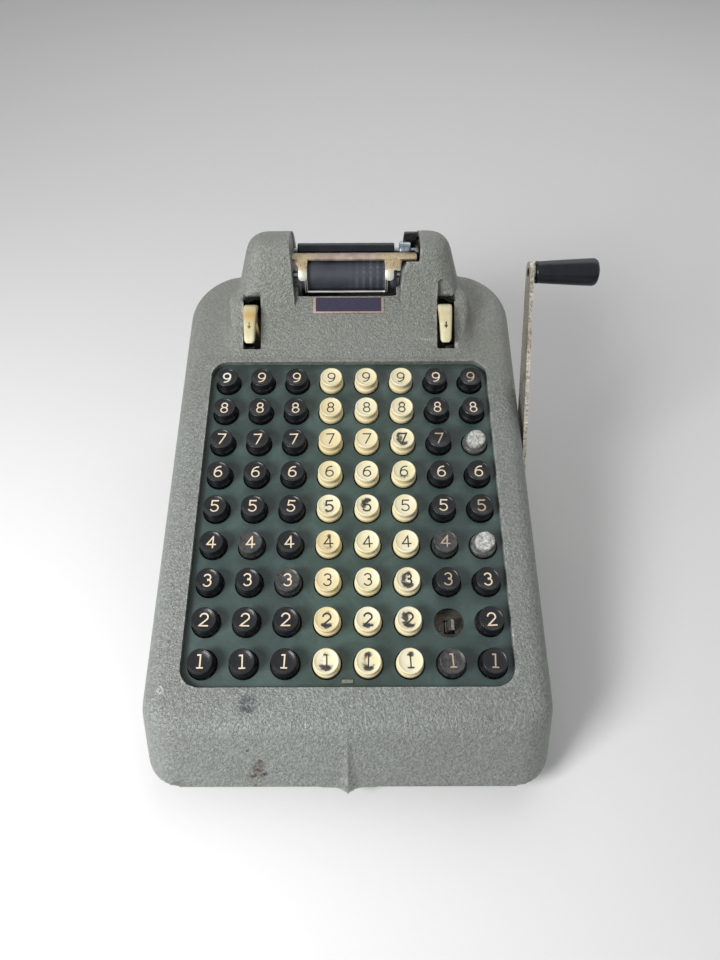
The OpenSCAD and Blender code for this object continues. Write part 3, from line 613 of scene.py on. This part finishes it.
def remeshed(work):
    grid = work.modifiers.new("grid", "REMESH")
    grid.mode = "SHARP"
    grid.octree_depth = GRID_DEPTH
    grid.scale = GRID_FILL
    grid.sharpness = 1.0
    grid.use_remove_disconnected = False
    return evaluated(work)


def softened(co, edges, normals, cell):
    """Eases the edges, fills the creases and shapes the towers' inner walls and the right recess."""
    x = co[:, 0] / MM + CENTRE_X
    y = co[:, 1] / MM + CENTRE_Y
    z = co[:, 2] / MM
    keel = (np.abs(x) < 12.5) & (y < 15) & (normals[:, 1] < -0.2)
    slots = (np.abs(np.abs(x) - SLOT_X) < 8) & (y > CREASE[0] + 0.5) & (y < 244) & (z > 92)
    window = (np.abs(x) < 36) & (y > TOWERS_Y) & (z > 104)
    notch = (x > 26) & (x < 43) & (y > 233) & (z > 114)
    rim = (np.abs(x) < KEYS_HALF + RIM) & (y > APRON - RIM) & (y < CREASE[0] + 0.5)
    weight = np.ones(len(co))
    for region, share in ((rim, 0.12), (window, 0.3), (slots | notch, 0.1), (keel, 0.05)):
        weight[region] = share
    co = relax(co, edges, blur(weight, edges, 2), EASING)

    hollow = bend_of(co, edges, normals) / cell
    kept = slots | window | notch | keel | rim
    outside = (z > 60) & (normals[:, 2] > 0.02) & (y < 264)
    reach = spread(((hollow > 0.05) & outside & ~kept).astype(float), edges, 6)
    reach[kept] = 0.0
    reach[np.abs(x) < 37] *= 0.35
    co = relax(co, edges, np.clip(reach * 1.6, 0, 1), FILLING)

    wall = rise(np.abs(x), 44, 34) * (y > TOWERS_Y)
    splay = SPLAY * rise(z, 118, 145) * np.sign(x)
    tight = TIGHT * rise(z, 113, 118) * rise(z, 134, 130) * rise(y, 254, 246)
    co[:, 0] += wall * (splay - tight * (x > 0)) * MM

    front = TOWER_FOOT[0] + (z - TOWER_FOOT[1]) * TOWER_LEAN
    low, high = RECESS_Z
    recess = (np.abs(x - SLOT_X) < 4.8) & (z > low) & (z < high) & (y > TOWERS_Y) & (y < front + 3.0)
    recess &= normals[:, 1] < -0.3
    floor_y = front + 0.7 + 0.24 * (high - z)
    co[recess, 1] = np.maximum(co[recess, 1], (floor_y[recess] - CENTRE_Y) * MM)
    return co


def mark_casting(mesh, points, curve):
    """Writes where the enamel is worn, where shade is painted in its hollows, and which inner walls are
    painted near black as shade.
    """
    tree = kdtree.KDTree(len(points))
    for i, p in enumerate(points):
        tree.insert(p, i)
    tree.balance()
    marks = {"wear": [], "painted_crease_shade": [], "inside": []}
    for v in mesh.vertices:
        value = curve[tree.find(v.co)[1]]
        marks["wear"].append(clamp((-value - 0.035) * 9))
        # Hollows get painted shade
        marks["painted_crease_shade"].append(clamp((value - 0.02) * 9))
        x, y, z = v.co.x / MM + CENTRE_X, v.co.y / MM + CENTRE_Y, v.co.z / MM
        front = TOWER_FOOT[0] + (z - TOWER_FOOT[1]) * TOWER_LEAN
        # The inner walls of the knob's notch and the lever slots, to be painted near black as shade
        cut = GAP_X - 0.7 < x < NOTCH_X + 1.6 and 240.5 < y < 268.3 and z < NOTCH_Z
        cut |= abs(abs(x) - SLOT_X) < 5.3 and 92 < z < 118.2 and front + 1.2 < y < 240
        marks["inside"].append(float(cut and v.normal.z < 0.6))
    for name, values in marks.items():
        mesh.attributes.new(name, "FLOAT", "POINT").data.foreach_set("value", values)


def casting():
    """The case as a soft casting: its solid with creases filled and edges eased."""
    work = placed("casting_work", nodes["case"].data.copy())
    cell = max(work.dimensions) / GRID_FILL / 2**GRID_DEPTH
    mesh = remeshed(work)
    co = softened(*arrays(mesh), cell)
    mesh.vertices.foreach_set("co", co.ravel())
    mesh.update()
    points, edges, normals = arrays(mesh)
    curve = blur(bend_of(points, edges, normals) / cell, edges, 3)
    work.data = mesh
    work.modifiers.clear()
    work.modifiers.new("thin", "DECIMATE").ratio = THINNED
    final = evaluated(work)
    bpy.data.objects.remove(work)
    mark_casting(final, points, curve)
    final.materials.clear()
    final.materials.append(MATERIALS["case_paint"])
    finish_piece("casting", final, "housing", ["case"], 50)


casting()

# Keys ------------------------------------------------------------------------

# A cap's profile: radius and height above the key plate
CAP = [
    (0, -1.2), (5.6, -1.2), (6.1, -0.7), (6.38, 0.1), (6.4, 1.6), (6.36, 2.1), (6.15, 2.45), (5.85, 2.7),
    (5.68, 3.1), (5.6, 4.0), (5.6, 5.2), (5.68, 5.7), (5.86, 6.0), (5.94, 6.35), (5.92, 6.8),
    (5.8, 7.12), (5.56, 7.28), (5.3, 7.26), (5.1, 7.1), (4.8, 6.92), (4.2, 6.76), (3.6, 6.63),
    (3.0, 6.53), (2.4, 6.46), (1.8, 6.41), (1.2, 6.38), (0.6, 6.36), (0, 6.35),
]
BROKEN_CAP = [
    (0, -1.2), (5.6, -1.2), (6.1, -0.7), (6.38, 0.1), (6.4, 1.5), (6.34, 2.0), (6.0, 2.4), (5.5, 2.6),
    (5.0, 2.8), (4.8, 3.4), (4.75, 4.2), (4.75, 5.0), (4.72, 5.6), (4.6, 6.1), (4.3, 6.45),
    (3.8, 6.65), (3.1, 6.75), (2.3, 6.8), (1.4, 6.82), (0.7, 6.82), (0, 6.8),
]
DISH = [(r, h) for r, h in CAP if r <= 4.9 and h > 6]


def dish_height(r):
    for (r1, h1), (r0, h0) in zip(DISH, DISH[1:]):
        if r0 <= r <= r1:
            return h0 + (h1 - h0) * (r - r0) / (r1 - r0)
    return DISH[0][1] if r > 3 else DISH[-1][1]


def bezier(p0, p1, p2, p3, count=14):
    """Points along a cubic curve."""
    return [
        tuple(
            (1 - t)**3 * a + 3 * (1 - t) * (1 - t) * t * b + 3 * (1 - t) * t * t * c + t**3 * d
            for a, b, c, d in zip(p0, p1, p2, p3)
        )
        for t in (i / count for i in range(count + 1))
    ]


def digit_strokes(n):
    """Centre lines of a digit's strokes in millimetres about the cap's centre."""
    six = [
        arc((0, -1.0), 1.55, 180, 540, 32),
        bezier((-1.55, -1.0), (-1.55, 1.1), (-0.55, 2.55), (1.15, 2.35)),
    ]
    return {
        1: [[(0.1, -2.55), (0.1, 2.55), (-0.95, 2.55)], [(-0.95, -2.55), (1.15, -2.55)]],
        2: [arc((0, 1.05), 1.5, 168, -28, 18) + [(-1.6, -2.55), (1.7, -2.55)]],
        3: [arc((-0.05, 1.25), 1.3, 150, -80, 18), arc((-0.05, -1.1), 1.5, 82, -150, 20)],
        4: [[(0.65, -2.55), (0.65, 2.55), (-1.75, -1.0), (1.75, -1.0)]],
        5: [[(1.35, 2.5), (-1.1, 2.5), (-1.3, 0.35)] + arc((-0.1, -0.95), 1.6, 128, -148, 20)],
        6: six,
        7: [[(-1.6, 2.5), (1.65, 2.5), (-0.55, -2.55)]],
        8: [arc((0, 1.35), 1.2, -90, 270, 28), arc((0, -1.2), 1.42, 90, 450, 30)],
        9: [[(-x, -y) for x, y in stroke] for stroke in six],
    }[n]


def turned(points, angle, dx, dy):
    c, s = math.cos(angle), math.sin(angle)
    return [(x * c - y * s + dx, x * s + y * c + dy) for x, y in points]


STROKE_STEP = 0.5
SHARPEST = 0.6  # limits the mitre at a stroke's corner
# A stroke's section: place across its half width, and depth below its top
SECTION = ((-1, 0.3), (-0.86, 0.0), (0.86, 0.0), (1, 0.3))


def ribbon(bm, points, width, lift, matrix):
    """A stroke that follows the dish of a cap."""
    closed = math.dist(points[0], points[-1]) < 1e-6
    if closed:
        points = points[:-1]
    dense = []
    count = len(points)
    for i in range(count if closed else count - 1):
        a, b = points[i], points[(i + 1) % count]
        steps = max(1, int(math.dist(a, b) / STROKE_STEP))
        dense += [tuple(u + (v - u) * k / steps for u, v in zip(a, b)) for k in range(steps)]
    if not closed:
        dense.append(points[-1])
    count = len(dense)
    rows = []
    for i, p in enumerate(dense):
        a = dense[i - 1] if closed or i else p
        b = dense[(i + 1) % count] if closed or i < count - 1 else p
        tangent = Vector((b[0] - a[0], b[1] - a[1])).normalized()
        before = Vector((p[0] - a[0], p[1] - a[1]))
        mitre = 1.0
        if before.length > 1e-9:
            mitre = 1 / max(SHARPEST, abs(before.normalized().dot(tangent)))
        side = Vector((-tangent[1], tangent[0])) * width / 2 * mitre
        end = Vector((0, 0))
        if not closed and i in (0, count - 1):
            end = tangent * width * 0.35 * (1 if i else -1)
        row = []
        for k, drop in SECTION:
            q = Vector(p) + side * k + end
            h = dish_height(q.length) + lift - drop
            row.append(bm.verts.new(matrix @ Vector((q[0], q[1], h))))
        rows.append(row)
    pairs = list(zip(rows, rows[1:]))
    if closed:
        pairs.append((rows[-1], rows[0]))
    for low, high in pairs:
        for i in range(3):
            bm.faces.new((low[i], low[i + 1], high[i + 1], high[i]))
        bm.faces.new((low[3], low[0], high[0], high[3]))
    if not closed:
        bm.faces.new(rows[0][::-1])
        bm.faces.new(rows[-1])


def stem(bm, matrix):
    """The flat stem below a cap, with the stop that the lower guide holds."""
    w = STEM_W / 2
    stop = KEY_TRAVEL + FIT_GAP - GUIDE_DEPTH
    right = [(w, stop), (w + 1, stop), (w + 1, stop + 2), (w, stop + 2), (w, -1.0)]
    outline = [(-w, -STEM_DEPTH), (w, -STEM_DEPTH)] + right + [(-x, y) for x, y in right[::-1]]
    plate(bm, outline, -STEM_T / 2, STEM_T / 2, matrix @ UPRIGHT, material=1)


DIGIT_SCALE = (1.2, 1.13)
STROKE_CREAM, STROKE_BLACK, STROKE_THICK = 0.74, 0.76, 0.95


def column_x(c):
    return (c - (COLUMNS + 1) / 2) * COL_PITCH


# Dirt in a cap's dish: along its lower rim, at its upper rim and at its left
SOIL = {
    (6, 9): (0.3, 0.2, 0.0), (6, 8): (0.3, 0.3, 0.2), (6, 7): (0.9, 0.2, 0.9), (6, 6): (0.5, 0.1, 0.2),
    (4, 5): (0.5, 0.1, 0.3), (5, 5): (0.3, 1.0, 0.8), (4, 4): (0.5, 0.5, 0.1), (6, 3): (1.2, 0.6, 0.7),
    (4, 2): (1.0, 0.5, 0.0), (5, 2): (0.9, 0.3, 0.0), (6, 2): (0.9, 0.4, 1.1), (4, 1): (1.2, 0.5, 0.2),
    (5, 1): (1.1, 0.9, 0.3), (6, 1): (0.3, 0.9, 0.0),
}
YELLOW = {
    (4, 9): 0.25, (4, 8): 0.4, (4, 7): 0.5, (5, 7): 0.3, (4, 6): 0.35, (4, 4): 0.6, (4, 3): 0.45,
    (4, 2): 0.5, (5, 9): 0.2,
}


def soil_at(p, amounts, seed):
    """How dirty a point of a cap's dish is."""
    low, high, left = amounts
    if p.length > 5.3:
        return 0.0
    patch = noise.fractal(Vector((p.x * 0.8, p.y * 0.8, seed)), 1.0, 2.0, 3)
    angle = math.atan2(p.x, -p.y)
    total = low * math.exp(-(((p.length - 3.1) / 1.2) ** 2) - (angle / 0.85) ** 2)
    total += high * math.exp(-(((p.x - 0.2) / 1.5) ** 2) - ((p.y - 3.0) / 1.2) ** 2)
    total += left * math.exp(-(((p.x + 1.9) / 1.5) ** 2) - ((p.y - 0.8) / 2.3) ** 2)
    return clamp(total * (1.25 + 0.9 * patch))


def crumbling(seed):
    """How a broken cap's surface strays from its profile."""

    def moved(p):
        if p.z < 3:
            return p
        n = noise.fractal(Vector((p.x * 0.5, p.y * 0.5, p.z * 0.5 + seed)), 1.0, 2.0, 4)
        p = p + Vector((0.5, 0.5, 0)) * min(1.0, (p.z - 3) / 2)
        return p * (1 + 0.05 * n) if p.z < 6.4 else p + Vector((0, 0, 0.35 * n))

    return moved


def mark_cap(made, key, inverse, seed, marks):
    """Writes a cap's dirt, its yellowing with painted shade on its sides, and chalky wear on its vertices.
    """
    for v in made:
        p = inverse @ v.co
        top = p.z > 6
        amounts = SOIL.get(key)
        yellow = YELLOW.get(key, 0.0)
        v[marks["soil"]] = soil_at(p.xy, amounts, seed) if top and amounts else 0.0
        # Tops take the key's yellowing; sides take a fixed base of painted shade plus more of the yellowing
        v[marks["yellow"]] = yellow if top else 0.3 + 0.4 * yellow
        if key in BROKEN:
            v[marks["crumble"]] = clamp((p.z - 2.6) / 2.4, 0.18)
        elif key in CHALKY:
            v[marks["crumble"]] = 0.10 if top else 0.06


def make_key(key, caps, digits, rng, marks):
    c, r = key
    at = SLOPED @ Matrix.Translation((column_x(c), FRONT_MARGIN + (r - 1) * ROW_PITCH, 0))
    broken = key in BROKEN
    turn = math.radians(rng.uniform(-3.5, 3.5))
    shift = rng.uniform(-0.15, 0.15), rng.uniform(-0.15, 0.15)
    seed = c * 7.3 + r * 3.1
    made = lathe(caps, BROKEN_CAP if broken else CAP, at, 48, crumbling(seed) if broken else None)
    mark_cap(made, key, at.inverted(), seed, marks)
    stem(caps, at)
    if broken:
        return
    width = STROKE_CREAM if c in CREAM_COLUMNS else STROKE_BLACK
    if key == WHITE or key in THICK:
        width = STROKE_THICK
    for i, stroke in enumerate(digit_strokes(r)):
        points = turned([(DIGIT_SCALE[0] * x, DIGIT_SCALE[1] * y) for x, y in stroke], turn, *shift)
        ribbon(digits, points, width, 0.045 + 0.008 * i, at)


def digit_paint(key):
    if key[0] in CREAM_COLUMNS:
        return DIGIT_DARK
    if key == WHITE:
        return DIGIT_WHITE
    return DIGIT_DULL if key in DULL else DIGIT_LIGHT


def keys_on(name, body, node, keys, rng):
    """Makes the caps, stems and digits of the keys that ride on one body."""
    caps, digits = bmesh.new(), bmesh.new()
    marks = {mark: caps.verts.layers.float.new(mark) for mark in ("soil", "yellow", "crumble")}
    paints = []
    for key in keys:
        first = len(digits.faces)
        make_key(key, caps, digits, rng, marks)
        material = digit_paint(key)
        if material not in paints:
            paints.append(material)
        digits.faces.ensure_lookup_table()
        for face in digits.faces[first:]:
            face.material_index = paints.index(material)
    slot = "key_cream" if keys[0][0] in CREAM_COLUMNS else "key_black"
    piece("caps_" + name, caps, body, slot, [node], [MATERIALS[slot], MATERIALS["steel"]])
    if len(digits.verts):
        piece("digits_" + name, digits, body, materials=paints, sharp=30)
    else:
        digits.free()


rng = random.Random(17)
for c in range(1, COLUMNS + 1):
    keys = [(c, r) for r in range(1, ROWS + 1)]
    if c < FIRST_SINGLE:
        keys_on(str(c), "column_%d" % c, "keys_column_%d" % c, keys, rng)
        continue
    for key in keys:
        if key != MISSING:
            name = "%d_%d" % key
            keys_on(name, "button_" + name, "key_" + name, [key], rng)


# Printing window -------------------------------------------------------------


def roll(end, middle, length):
    """A roller's profile, with the same end at both sides of its middle."""
    return end + middle + [(r, length - h) for r, h in end[::-1]]


def platen():
    """Rubber roller, worn most towards its right end."""
    bm = bmesh.new()
    count = 52
    middle = []
    for i in range(1, count):
        x = PLATEN_W * i / count
        ring = 0.06 * max(0.0, math.sin(x * 2.1)) * (1 if x > 22 else 0.35)
        middle.append((PLATEN_R - 0.03 - ring, x))
    profile = roll([(2.0, 0), (8.3, 0), (8.75, 0.15), (PLATEN_R, 0.6)], middle, PLATEN_W)
    lathe(bm, profile, on_axis(-PLATEN_W / 2, PLATEN_C), 64)
    piece("platen_roll", bm, "platen", "platen_rubber", ["platen_rubber"])


def skin(bm, rows):
    """Joins closed rings of points into one closed form."""
    rings = [[bm.verts.new(p) for p in row] for row in rows]
    for low, high in zip(rings, rings[1:]):
        for i in range(len(low)):
            j = (i + 1) % len(low)
            bm.faces.new((low[i], low[j], high[j], high[i]))
    bm.faces.new(rings[0][::-1])
    bm.faces.new(rings[-1])


# The guide's arms: angle round the platen, inner and outer edge across the machine
ARM_EDGES = [
    (90, 22.6, 30.3), (96, 22.6, 30.3), (104, 22.8, 30.3), (112, 22.9, 30.2), (118, 23.0, 29.8),
    (122, 23.1, 28.8), (126, 23.1, 28.2), (134, 23.1, 28.0), (139, 23.1, 28.0), (144, 23.1, 28.0),
    (154, 23.1, 28.0), (160, 23.2, 27.9), (164, 23.6, 27.4), (166, 24.2, 26.6),
]
# The right arm's shoulder: its outer edge, and the angle where it ends
SHOULDER, SHOULDER_END = 31.8, 135
GUIDE_SHIFT = 1.4  # how far the guide's middle stands to the left
GUIDE_R, GUIDE_T = 10.5, 1.0


def paper_band():
    """A band across the platen's top, with a tailed arm at either end."""
    bm = bmesh.new()
    r, t = GUIDE_R, GUIDE_T
    edge = (PLATEN_C[0] + r - 2, PLATEN_C[1] + r - 1.9)
    band = arc(PLATEN_C, r + t, 104, 68, 12) + [edge, (edge[0], edge[1] - t)] + arc(PLATEN_C, r, 68, 104, 12)
    plate(bm, band, -GAP_X - 1.0, NOTCH_X - 0.4, SIDE, 0.3)
    for side in (-1, 1):
        shift = 0 if side < 0 else -GUIDE_SHIFT * 2
        rows = []
        for a, near, far in ARM_EDGES:
            if side > 0 and a < SHOULDER_END:
                far = SHOULDER
            outline = [
                (near, 0.2), (near + 0.3, 0), (far - 0.3, 0), (far, 0.2),
                (far, t - 0.2), (far - 0.3, t), (near + 0.3, t), (near, t - 0.2),
            ]
            rows.append([
                MACHINE @ Vector((side * w + shift, *polar(PLATEN_C, r + h, a))) for w, h in outline
            ])
        skin(bm, rows)
        # Painted shade: the steel tails below the arms are made in black rubber, as if in shadow
        narrow = sorted((side * 23.2 + shift, side * 24.4 + shift))
        tail = arc(PLATEN_C, r + t - 0.1, 207, 160, 16) + arc(PLATEN_C, r + 0.1, 160, 207, 16)
        plate(bm, tail, *narrow, SIDE, 0.2, 2, 1)
    materials = [MATERIALS["guide_metal"], MATERIALS["feet_rubber"]]
    piece("paper_band", bm, "housing", "guide_metal", ["paper_guide"], materials)


# The wire's hook: half its width, distance from the platen's axis and angle round it
HOOK = [(23.8, 10.9, 204.5), (23.6, 10.9, 206), (23.2, 10.85, 207.4), (22.5, 10.8, 208.6), (21.0, 10.8, 209)]
WIRE_R = 0.75
WIRE_SIDES = 14


def front_wire():
    """Round wire whose hooked ends reach the guide's tails."""
    bm = bmesh.new()
    left = [Vector((-w, *polar(PLATEN_C, r, a))) for w, r, a in HOOK]
    right = [Vector((w - 2 * GUIDE_SHIFT, *polar(PLATEN_C, r, a))) for w, r, a in HOOK[::-1]]
    points = left + [left[-1].lerp(right[0], i / 6) for i in range(1, 6)] + right
    rows = []
    for i, p in enumerate(points):
        ahead = (points[min(i + 1, len(points) - 1)] - points[max(i - 1, 0)]).normalized()
        first = ahead.cross(Vector((0, 1, 0))).normalized()
        second = ahead.cross(first)
        rows.append([
            MACHINE @ (p + (first * math.cos(a) + second * math.sin(a)) * WIRE_R)
            for a in (2 * math.pi * k / WIRE_SIDES for k in range(WIRE_SIDES))
        ])
    skin(bm, rows)
    piece("front_wire", bm, "housing", "bright_steel", ["guide_wire"], [MATERIALS["steel"]])


def spindle():
    """Black roller with fine rings, and the knob at its right end."""
    bm = bmesh.new()
    r, count = 4.2, 28
    start, end = -GAP_X + 0.9, GAP_X - 4.3
    length = end - start
    middle = [(r - 0.05 * (i % 4 == 0), length * i / count) for i in range(1, count)]
    profile = roll([(1.5, 0), (3.8, 0), (4.1, 0.2), (r, 0.6)], middle, length)
    lathe(bm, profile, on_axis(start, SPINDLE_C), 48)
    piece("spindle_roll", bm, "spindle", "spindle_black", ["spindle_core"])
    bm = bmesh.new()
    groove = [(4.9, 2.4), (4.7, 2.6), (4.7, 3.0), (4.9, 3.2)]
    profile = roll([(1.5, 0), (4.2, 0), (4.75, 0.3), (4.9, 0.8)], groove, 6.6)
    lathe(bm, profile, on_axis(GAP_X - 1.5, SPINDLE_C), 48)
    piece("spindle_end", bm, "spindle", "bright_steel", ["spindle_knob"])


def rectangle(x0, y0, x1, y1):
    return [(x0, y0), (x1, y0), (x1, y1), (x0, y1)]


def label():
    """Bare label plate below the window: a dark field in a pale border."""
    bm = bmesh.new()
    plate(bm, rectangle(-20.3, 25.0, 19.9, 34.3), -1.2, 0.35, PANEL, 0.15, 2, 1)
    plate(bm, rectangle(-18.7, 26.1, 18.3, 34.0), 0.1, 0.45, PANEL, 0.05, 1)
    piece("label_blank", bm, "housing", materials=[LABEL_FIELD, LABEL_EDGE])


platen()
paper_band()
front_wire()
spindle()
label()

# Levers ----------------------------------------------------------------------

LEVER_SHIFT = -0.6  # the finger pieces stand left of their slots' middle
FACE_R = LEVER_R + 1.3
FACE_START, FACE_TURN = 103.6, 34.6  # angles round the lever's axis
HEAD = 110  # where the web meets the finger piece


def lever_point(side, x, r, a):
    return MACHINE @ Vector((side * SLOT_X + LEVER_SHIFT + x, *polar(LEVER_C, r, a)))


def lever(side, node, arrow):
    """Curved finger piece that narrows downwards, with its web, eye and arrow."""
    hand = "left" if side < 0 else "right"
    bm = bmesh.new()
    rows = []
    count = 22
    for i in range(count + 1):
        t = i / count
        half = 3.95 - 1.1 * t
        half *= 1 - 0.35 * max(0.0, (t - 0.93) / 0.07) ** 2
        knee = max(0.0, 1 - t / 0.2)
        outer = FACE_R - 2.4 * knee * knee
        inner = LEVER_R - 1.4 - 2.0 * (1 - t) - 0.6 * knee
        ring = [
            (0.8 * half, inner), (half, inner + 0.6), (half, outer - 1.2),
            (0.93 * half, outer - 0.5), (0.76 * half, outer - 0.12), (0.45 * half, outer),
        ]
        ring += [(-x, r) for x, r in ring[::-1]]
        rows.append([lever_point(side, x, r, FACE_START + FACE_TURN * t) for x, r in ring])
    skin(bm, rows)
    top = polar(LEVER_C, LEVER_R - 2, HEAD)
    web = arc(LEVER_C, 5.5, HEAD + 90, HEAD + 270, 20) + arc(top, 2.0, HEAD - 90, HEAD + 90, 8)
    plate(bm, web, side * SLOT_X - 2.4, side * SLOT_X + 2.4, SIDE, 0.4)
    yellow = bm.verts.layers.float.new("yellow")
    for v in bm.verts:
        p = MACHINE.inverted() @ v.co
        place = math.degrees(math.atan2(p.z - LEVER_C[1], p.y - LEVER_C[0]))
        v[yellow] = max(0.0, 1 - abs(place - 116) / 9) * (0.9 if side < 0 else 0.25)
    piece("lever_" + hand, bm, hand + "_lever", "lever_cream", [node])

    def ring_at(x0, x1, a):
        corners = ((x0, -0.3), (x0, 0.06), (x1, 0.06), (x1, -0.3))
        return [lever_point(side, x, FACE_R + lift, a) for x, lift in corners]

    bm = bmesh.new()
    half = 0.25 if side < 0 else 0.4
    skin(bm, [ring_at(-half, half, 122 + i * 0.75) for i in range(5)])
    tip = [(-1.15, 125.0), (1.15, 125.0), (0, 127.4)]
    skin(bm, [[lever_point(side, x, FACE_R + lift, a) for x, a in tip] for lift in (-0.3, 0.07)])
    piece("arrow_" + hand, bm, hand + "_lever", materials=[arrow], sharp=20)


lever(-1, "repeat_lever", ARROW_WORN)
lever(1, "total_lever", ARROW_DARK)

# Crank -----------------------------------------------------------------------

GRIP_LENGTH = 32.3


def crank():
    """The crank's arm, the grip that widens outwards, and its pin."""
    bm = bmesh.new()
    a = math.degrees(math.atan2(GRIP_C[1] - CRANK_C[1], GRIP_C[0] - CRANK_C[0]))
    outline = arc(CRANK_C, 10, a + 90, a + 270, 32) + arc(GRIP_C, 5.5, a - 90, a + 90, 20)
    plate(bm, outline, ARM_X, ARM_X + ARM_T, SIDE, 0.55, 3)
    piece("crank_plate", bm, "crank", "crank_steel", ["crank_arm"])
    bm = bmesh.new()
    end = GRIP_LENGTH
    profile = [(2.3, 0), (4.9, 0), (5.45, 0.15), (5.75, 0.6), (5.75, 1.3), (5.6, 1.7), (5.62, 2.2)]
    for i in range(1, 12):
        t = i / 12
        profile.append((5.62 + 1.48 * t ** 0.9, 2.2 + (end - 5.0) * t))
    profile += [
        (7.1, end - 2.6), (7.05, end - 1.8), (6.8, end - 1.0), (6.35, end - 0.4),
        (5.7, end - 0.05), (4.6, end), (4.4, end - 0.4), (2.3, end - 0.4),
    ]
    lathe(bm, profile, on_axis(GRIP_X, GRIP_C), 56)
    piece("crank_handle", bm, "grip", "grip_black", ["crank_grip"])
    bm = bmesh.new()
    r, end = 2.25, GRIP_X + GRIP_LENGTH + FIT_GAP - ARM_X
    shoulder = [(3.6, 0.05), (3.8, 0.3), (3.8, 1.2), (3.5, 1.4), (r, 1.45)]
    head = [(r, -0.3), (4.0, -0.2), (4.05, 0), (3.6, 0.5), (2.4, 0.86), (1.2, 0.97), (0, 1.0)]
    profile = [(0, 0), (r, 0), (r, ARM_T)] + [(w, ARM_T + h) for w, h in shoulder]
    profile += [(w, end + h) for w, h in head]
    lathe(bm, profile, on_axis(ARM_X, GRIP_C), 40)
    piece("handle_pin", bm, "crank", "crank_steel", ["grip_pin"])


crank()

# Small pieces on and below the key plate -------------------------------------


def plate_tab():
    """Bare tab at the key plate's front edge."""
    bm = bmesh.new()
    plate(bm, rectangle(-3.0, 1.7, 3.0, 4.1), -0.4, 0.3, SLOPED, 0.15)
    plate(bm, rectangle(-2.6, 2.05, 2.6, 3.75), 0.1, 0.38, SLOPED, 0.06, 1, 1)
    piece("plate_tab", bm, "housing", "plate_paint", (), [MATERIALS["feet_rubber"], TAB_FIELD])


def guide_strip():
    """Slotted strip below the lost key, seen through its hole."""
    bm = bmesh.new()
    end = KEYS_HALF + 4
    middle = FRONT_MARGIN + (MISSING[1] - 1) * ROW_PITCH
    bars = [(-end, middle - 8.5, end, middle - 3.3), (-end, middle + 3.3, end, middle + 8.5)]
    sides = [-end, *(column_x(c) for c in range(1, COLUMNS + 1)), end]
    for i, (a, b) in enumerate(zip(sides, sides[1:])):
        left = 0 if i == 0 else 3.6 if i == MISSING[0] else 1.5
        right = 1.5 if i < COLUMNS else 0
        bars.append((a + left, middle - 3.5, b - right, middle + 3.5))
    for bar in bars:
        plate(bm, rectangle(*bar), -9.4, -8.2, SLOPED, 0.12, 1)
    piece("guide_strip", bm, "housing", "dark_steel", (), [STRIP_METAL])


guide_strip()
plate_tab()

# Floor, light and camera -----------------------------------------------------


def floor():
    bm = bmesh.new()
    bmesh.ops.create_grid(bm, x_segments=8, y_segments=8, size=6.0)
    mesh = bpy.data.meshes.new("floor")
    bm.to_mesh(mesh)
    bm.free()
    s = Shader("floor")
    cloud = s.noise(3.0, 2.0)
    s.set(Base_Color=s.mix(cloud, (0.88, 0.88, 0.88), (0.9, 0.9, 0.9)), Roughness=0.7)
    mesh.materials.append(s.material)
    placed("floor", mesh)


def area(name, place, aim, size, power):
    """A lamp at a place of the row frame, aimed at another."""
    lamp = bpy.data.lights.new(name, "AREA")
    lamp.shape = "RECTANGLE"
    lamp.size, lamp.size_y = size
    lamp.energy = power
    obj = placed(name, lamp)
    obj.location = place
    obj.rotation_mode = "QUATERNION"
    obj.rotation_quaternion = (Vector(aim) - Vector(place)).to_track_quat("-Z", "Y")


def world(ambient):
    """Even light on the object, and plain white where the camera or a reflection sees past it."""
    studio = bpy.data.worlds.new("studio")
    bpy.context.scene.world = studio
    studio.use_nodes = True
    nodes, link = studio.node_tree.nodes, studio.node_tree.links.new
    path = nodes.new("ShaderNodeLightPath")
    seen = path.outputs["Is Camera Ray"]
    for output in ("Is Glossy Ray", "Is Transmission Ray"):
        either = nodes.new("ShaderNodeMath")
        either.operation = "MAXIMUM"
        link(seen, either.inputs[0])
        link(path.outputs[output], either.inputs[1])
        seen = either.outputs[0]
    level = nodes.new("ShaderNodeMapRange")
    link(seen, level.inputs["Value"])
    level.inputs["To Min"].default_value = ambient
    level.inputs["To Max"].default_value = 1.0
    back = nodes["Background"].inputs
    link(level.outputs["Result"], back["Strength"])
    back["Color"].default_value = (1, 1, 1, 1)


floor()
world(ambient=0.24)
area("key_light", (-0.52, -0.44, 0.5), (-0.02, -0.03, 0.05), (0.28, 0.28), 6.4)
area("fill_light", (0.9, -0.6, 0.9), (0, 0, 0.05), (1.2, 0.9), 0.3)
area("back_light", (0.25, 0.75, 0.95), (0, 0.1, 0.1), (1.2, 0.6), 3.0)

# The photo's camera, fitted to the places of the keys
camera = bpy.data.cameras.new("camera")
camera.sensor_width = 36.0
camera.lens = 26.797
camera.clip_start = 0.01
camera.clip_end = 50
view = placed("camera", camera)
place = machine_point(6.8165, -115.1141, 346.0736)
right = Vector((0.99998911, -0.00142455, -0.00444469))
ahead = Vector((-0.00233117, 0.67256126, -0.74003778))
up = Vector((0.00404355, 0.74004008, 0.67255062))
turn = Matrix((right, up, -ahead)).transposed()
view.matrix_world = Matrix.Translation(place) @ turn.to_4x4()
bpy.context.scene.camera = view
bpy.context.scene.view_settings.view_transform = "Standard"
